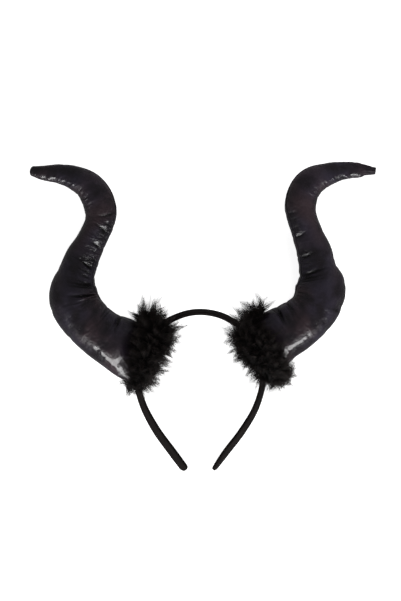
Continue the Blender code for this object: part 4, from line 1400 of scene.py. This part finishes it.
@dataclass
class Studio:
    """Pale floor, two soft lights and the camera that looks straight down at the front."""

    pixel: float = 0.000928
    closeness: float = 0.994
    picture: tuple = (401, 601)
    band_middle_pixel: float = 199.4
    band_foot_pixel: float = 470.6
    distance: float = 2.2
    sensor: float = 36.0
    floor_size: float = 6.0
    glow: float = 0.88
    foot_share: float = 0.034
    focus_height: float = 0.006
    surroundings: float = 0.125
    lights: tuple = (
        ("low_strip", (0.0, -1.25, 0.50), (0.0, 0.0, 0.0), (2.2, 0.44), 35.0, True),
        ("high_fill", (0.40, 0.42, 0.35), (0.13, 0.12, 0.0), (0.5, 0.5), 2.6, False),
    )

    def camera(self, band: Headband) -> None:
        """Place the camera so that the band lies where the photograph has it.

        Args:
            band: The headband, whose foot and middle set the place.
        """
        low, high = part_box("headband")
        middle_x = (low.x + high.x) / 2
        foot_y = band.places[:, 1].min() - self.foot_share * band.height
        width, height = self.picture
        data = bpy.data.cameras.new("camera")
        data.sensor_width = self.sensor
        data.lens = self.sensor * self.distance / (height * self.pixel * self.closeness)
        data.clip_end = 50.0
        camera = placed("camera", data)
        camera.location = (
            middle_x + ((width - 1) / 2 - self.band_middle_pixel) * self.pixel,
            foot_y + (self.band_foot_pixel - (height - 1) / 2) * self.pixel,
            self.distance + self.focus_height,
        )
        bpy.context.scene.camera = camera

    def floor(self) -> None:
        """Lay the pale floor under the piece."""
        mesh = bmesh.new()
        bmesh.ops.create_grid(mesh, x_segments=1, y_segments=1, size=self.floor_size / 2)
        data = bpy.data.meshes.new("floor")
        mesh.to_mesh(data)
        mesh.free()
        item = placed("floor", data)
        material, build, shader = new_material("pale_floor")
        spot = build.add("ShaderNodeTexCoord").outputs["Object"]
        cloud = build.noise(spot, 3.0)[0]
        build.fill(shader, {
            "Base Color": build.mix(cloud, (0.90, 0.90, 0.90, 1.0), (0.92, 0.92, 0.92, 1.0)),
            "Roughness": 0.9,
            "Specular IOR Level": 0.1,
            "Emission Color": (1.0, 1.0, 1.0, 1.0),
            "Emission Strength": self.glow,
        })
        item.data.materials.append(material)
        item.visible_glossy = False

    def light(self, name: str, place: tuple, aim: tuple, size: tuple, power: float,
              glossy: bool) -> None:
        """Add one soft rectangular light.

        Args:
            name: Its name.
            place: Where it stands.
            aim: Where it points.
            size: Its two sides.
            power: Its power in watts.
            glossy: Whether it shows in glossy surfaces.
        """
        data = bpy.data.lights.new(name, "AREA")
        data.shape = "RECTANGLE"
        data.size, data.size_y = size
        data.energy = power
        item = placed(name, data)
        item.location = place
        way = Vector(aim) - Vector(place)
        item.rotation_euler = way.to_track_quat("-Z", "Y").to_euler()
        item.visible_glossy = glossy

    def build(self, band: Headband) -> None:
        """Set up the floor, the lights, the surroundings and the camera."""
        self.floor()
        self.camera(band)
        for row in self.lights:
            self.light(*row)
        world = bpy.data.worlds.new("studio")
        world.use_nodes = True
        back = world.node_tree.nodes["Background"]
        back.inputs["Color"].default_value = (1.0, 1.0, 1.0, 1.0)
        back.inputs["Strength"].default_value = self.surroundings
        bpy.context.scene.world = world
        bpy.context.scene.view_settings.view_transform = "Standard"
        bpy.context.scene.view_settings.look = "None"


def sections(rows: tuple) -> tuple:
    """Sections of a horn from rows of their numbers."""
    return tuple(Section(*row) for row in rows)


def folds(seam: Seam, rows: tuple) -> tuple:
    """Folds that start at one seam, from rows of their numbers without it."""
    return tuple(Fold(along, seam, *rest) for along, *rest in rows)


LEFT_SECTIONS = sections((
    (-0.05, -0.035, 0.88, 0.34, 0.52), (0.04, -0.012, 0.95, 0.51, 0.52),
    (0.17, 0.036, 0.93, 0.96, 0.47), (0.34, 0.097, 0.83, 1.00, 0.46),
    (0.51, 0.201, 0.82, 0.98, 0.45), (0.577, 0.281, 0.84, 0.95, 0.44),
    (0.581, 0.360, 0.775, 0.86, 0.40), (0.556, 0.437, 0.62, 0.72, 0.33),
    (0.505, 0.528, 0.575, 0.64, 0.29), (0.431, 0.618, 0.505, 0.60, 0.275),
    (0.361, 0.717, 0.50, 0.60, 0.275), (0.350, 0.780, 0.535, 0.60, 0.275),
    (0.385, 0.855, 0.53, 0.60, 0.275), (0.456, 0.919, 0.475, 0.57, 0.26),
    (0.57, 0.962, 0.40, 0.50, 0.23), (0.71, 0.987, 0.32, 0.41, 0.19),
    (0.86, 0.994, 0.238, 0.31, 0.145), (0.950, 1.004, 0.175, 0.23, 0.11),
))
RIGHT_SECTIONS = sections((
    (-0.06, -0.029, 0.88, 0.34, 0.52), (0.03, 0.014, 0.93, 0.51, 0.52),
    (0.167, 0.088, 0.90, 0.96, 0.47), (0.292, 0.136, 0.855, 1.00, 0.46),
    (0.431, 0.210, 0.80, 0.99, 0.455), (0.498, 0.286, 0.83, 0.95, 0.44),
    (0.516, 0.369, 0.835, 0.88, 0.405), (0.491, 0.462, 0.64, 0.74, 0.34),
    (0.465, 0.552, 0.595, 0.65, 0.30), (0.412, 0.650, 0.53, 0.60, 0.275),
    (0.365, 0.741, 0.51, 0.60, 0.275), (0.35, 0.805, 0.53, 0.60, 0.275),
    (0.377, 0.884, 0.52, 0.60, 0.275), (0.444, 0.942, 0.482, 0.57, 0.26),
    (0.58, 0.985, 0.375, 0.48, 0.22), (0.72, 1.006, 0.29, 0.36, 0.165),
    (0.835, 1.009, 0.248, 0.30, 0.14), (0.863, 1.009, 0.228, 0.28, 0.13),
    (0.882, 1.011, 0.192, 0.25, 0.118), (0.93, 1.0085, 0.156, 0.215, 0.10),
    (0.988, 1.0045, 0.118, 0.18, 0.085),
))
LEFT_FOLDS = folds(Seam.INNER, (
    (0.155, 1.00, 66, 0.016, -0.010), (0.235, 0.85, 58, 0.014, -0.012), (0.345, 1.00, 84, 0.015, 0.010),
    (0.405, 0.70, 60, 0.013, 0.012), (0.480, 0.55, 48, 0.012, 0.006), (0.560, 0.50, 50, 0.012, 0.006),
    (0.640, 0.50, 44, 0.012, 0.000),
)) + folds(Seam.OUTER, (
    (0.250, 0.65, 52, 0.015, 0.010), (0.330, 0.60, 48, 0.014, 0.008), (0.430, 0.20, 40, 0.012, 0.000),
    (0.730, 0.50, 48, 0.012, 0.006), (0.800, 0.45, 44, 0.012, 0.004),
))
RIGHT_FOLDS = folds(Seam.INNER, (
    (0.165, 1.00, 72, 0.016, -0.012), (0.215, 0.90, 62, 0.014, -0.012), (0.415, 1.00, 84, 0.015, 0.010),
    (0.480, 0.65, 52, 0.013, 0.008), (0.560, 0.50, 46, 0.012, 0.004), (0.640, 0.45, 44, 0.012, 0.000),
)) + folds(Seam.OUTER, (
    (0.255, 0.70, 50, 0.014, 0.008), (0.315, 0.85, 56, 0.014, 0.010), (0.370, 0.60, 48, 0.013, 0.006),
    (0.460, 0.45, 40, 0.012, 0.000), (0.720, 0.50, 50, 0.012, 0.006), (0.800, 0.45, 44, 0.012, 0.004),
))
SEAM_PLACES = tuple(SeamPlace(*row) for row in (
    (0.0, 4.0), (0.30, 8.0), (0.42, 30.0), (0.62, 36.0), (0.72, 16.0), (0.85, 6.0), (1.0, 0.0),
))
LEFT_CORE = (
    (0.00, -0.21, 0.58, 1.00), (0.26, -0.19, 0.54, 1.00), (0.52, -0.18, 0.38, 1.15),
    (0.56, 0.10, 0.00, 0.75), (0.48, -0.02, -0.30, 0.70), (0.30, -0.14, -0.42, 1.00),
    (0.00, -0.16, -0.43, 1.00), (-0.30, -0.22, -0.42, 0.90), (-0.46, -0.22, -0.30, 0.50),
    (-0.53, -0.15, 0.00, 0.15), (-0.48, -0.25, 0.32, 0.30), (-0.28, -0.25, 0.52, 0.65),
)
RIGHT_CORE = (
    (0.00, -0.12, 0.58, 1.00), (0.26, -0.10, 0.54, 0.95), (0.44, 0.00, 0.38, 0.75),
    (0.52, 0.30, 0.00, 0.50), (0.48, -0.02, -0.30, 0.70), (0.28, -0.12, -0.42, 1.00),
    (0.00, -0.14, -0.43, 1.00), (-0.32, -0.12, -0.42, 0.90), (-0.48, -0.08, -0.30, 0.75),
    (-0.56, -0.05, 0.00, 0.50), (-0.50, -0.13, 0.32, 0.60), (-0.28, -0.12, 0.52, 0.90),
)
WAYS = ("inside", "outside", "up", "down", "front", "back")
LEFT_BULK = dict(zip(WAYS, (0.0120, 0.0130, 0.0060, 0.0050, 0.0050, 0.0040)))
RIGHT_BULK = dict(zip(WAYS, (0.0120, 0.0195, 0.0050, 0.0060, 0.0050, 0.0040)))
LEFT_REACH = dict(zip(WAYS, (0.0145, 0.0145, 0.0240, 0.0110, 0.0110, 0.0060)))
RIGHT_REACH = dict(zip(WAYS, (0.0135, 0.0125, 0.0195, 0.0105, 0.0110, 0.0060)))
LEFT_PUCKERS = (
    (0.00, 0.20, 0.15), (0.10, 0.45, 0.25), (0.30, 0.60, 0.35), (0.38, 1.00, 0.35),
    (0.60, 1.00, 0.60), (0.68, 0.60, 1.00), (0.80, 0.30, 1.00), (0.94, 0.20, 1.00), (1.00, 0.10, 0.20),
)
RIGHT_PUCKERS = (
    (0.00, 0.20, 0.15), (0.14, 0.60, 0.25), (0.30, 0.40, 0.60), (0.42, 0.80, 0.50),
    (0.50, 0.18, 0.35), (0.66, 0.16, 0.60), (0.74, 0.30, 1.00), (0.93, 0.20, 1.00), (1.00, 0.15, 0.30),
)


def main() -> None:
    """Build the headband, the horns, the trims and the studio."""
    logging.basicConfig(level=logging.INFO, format="%(name)s: %(message)s")
    band = Headband()
    strip = band.build(BandCloth())
    LOG.info("headband built")
    cloth = CoatedCloth().material()
    fluff = Fluff().material()
    sides = (
        (StuffedHorn(Side.LEFT, 0.1050, LEFT_SECTIONS, LEFT_FOLDS, SEAM_PLACES, LEFT_PUCKERS, band),
         LEFT_CORE, LEFT_BULK, LEFT_REACH, (0.00, 0.30, 0.35)),
        (StuffedHorn(Side.RIGHT, 0.1095, RIGHT_SECTIONS, RIGHT_FOLDS, SEAM_PLACES, RIGHT_PUCKERS, band),
         RIGHT_CORE, RIGHT_BULK, RIGHT_REACH, (0.25, 0.22, 0.35)),
    )
    for horn, core, bulk, reach, comb in sides:
        side = horn.side
        item = horn.build(cloth)
        LOG.info("%s horn built", side.label)
        FluffTrim(horn, core, bulk, reach, comb).build([strip, item], fluff)
        LOG.info("%s trim built", side.label)
    Studio().build(band)


if __name__ == "__main__":
    main()
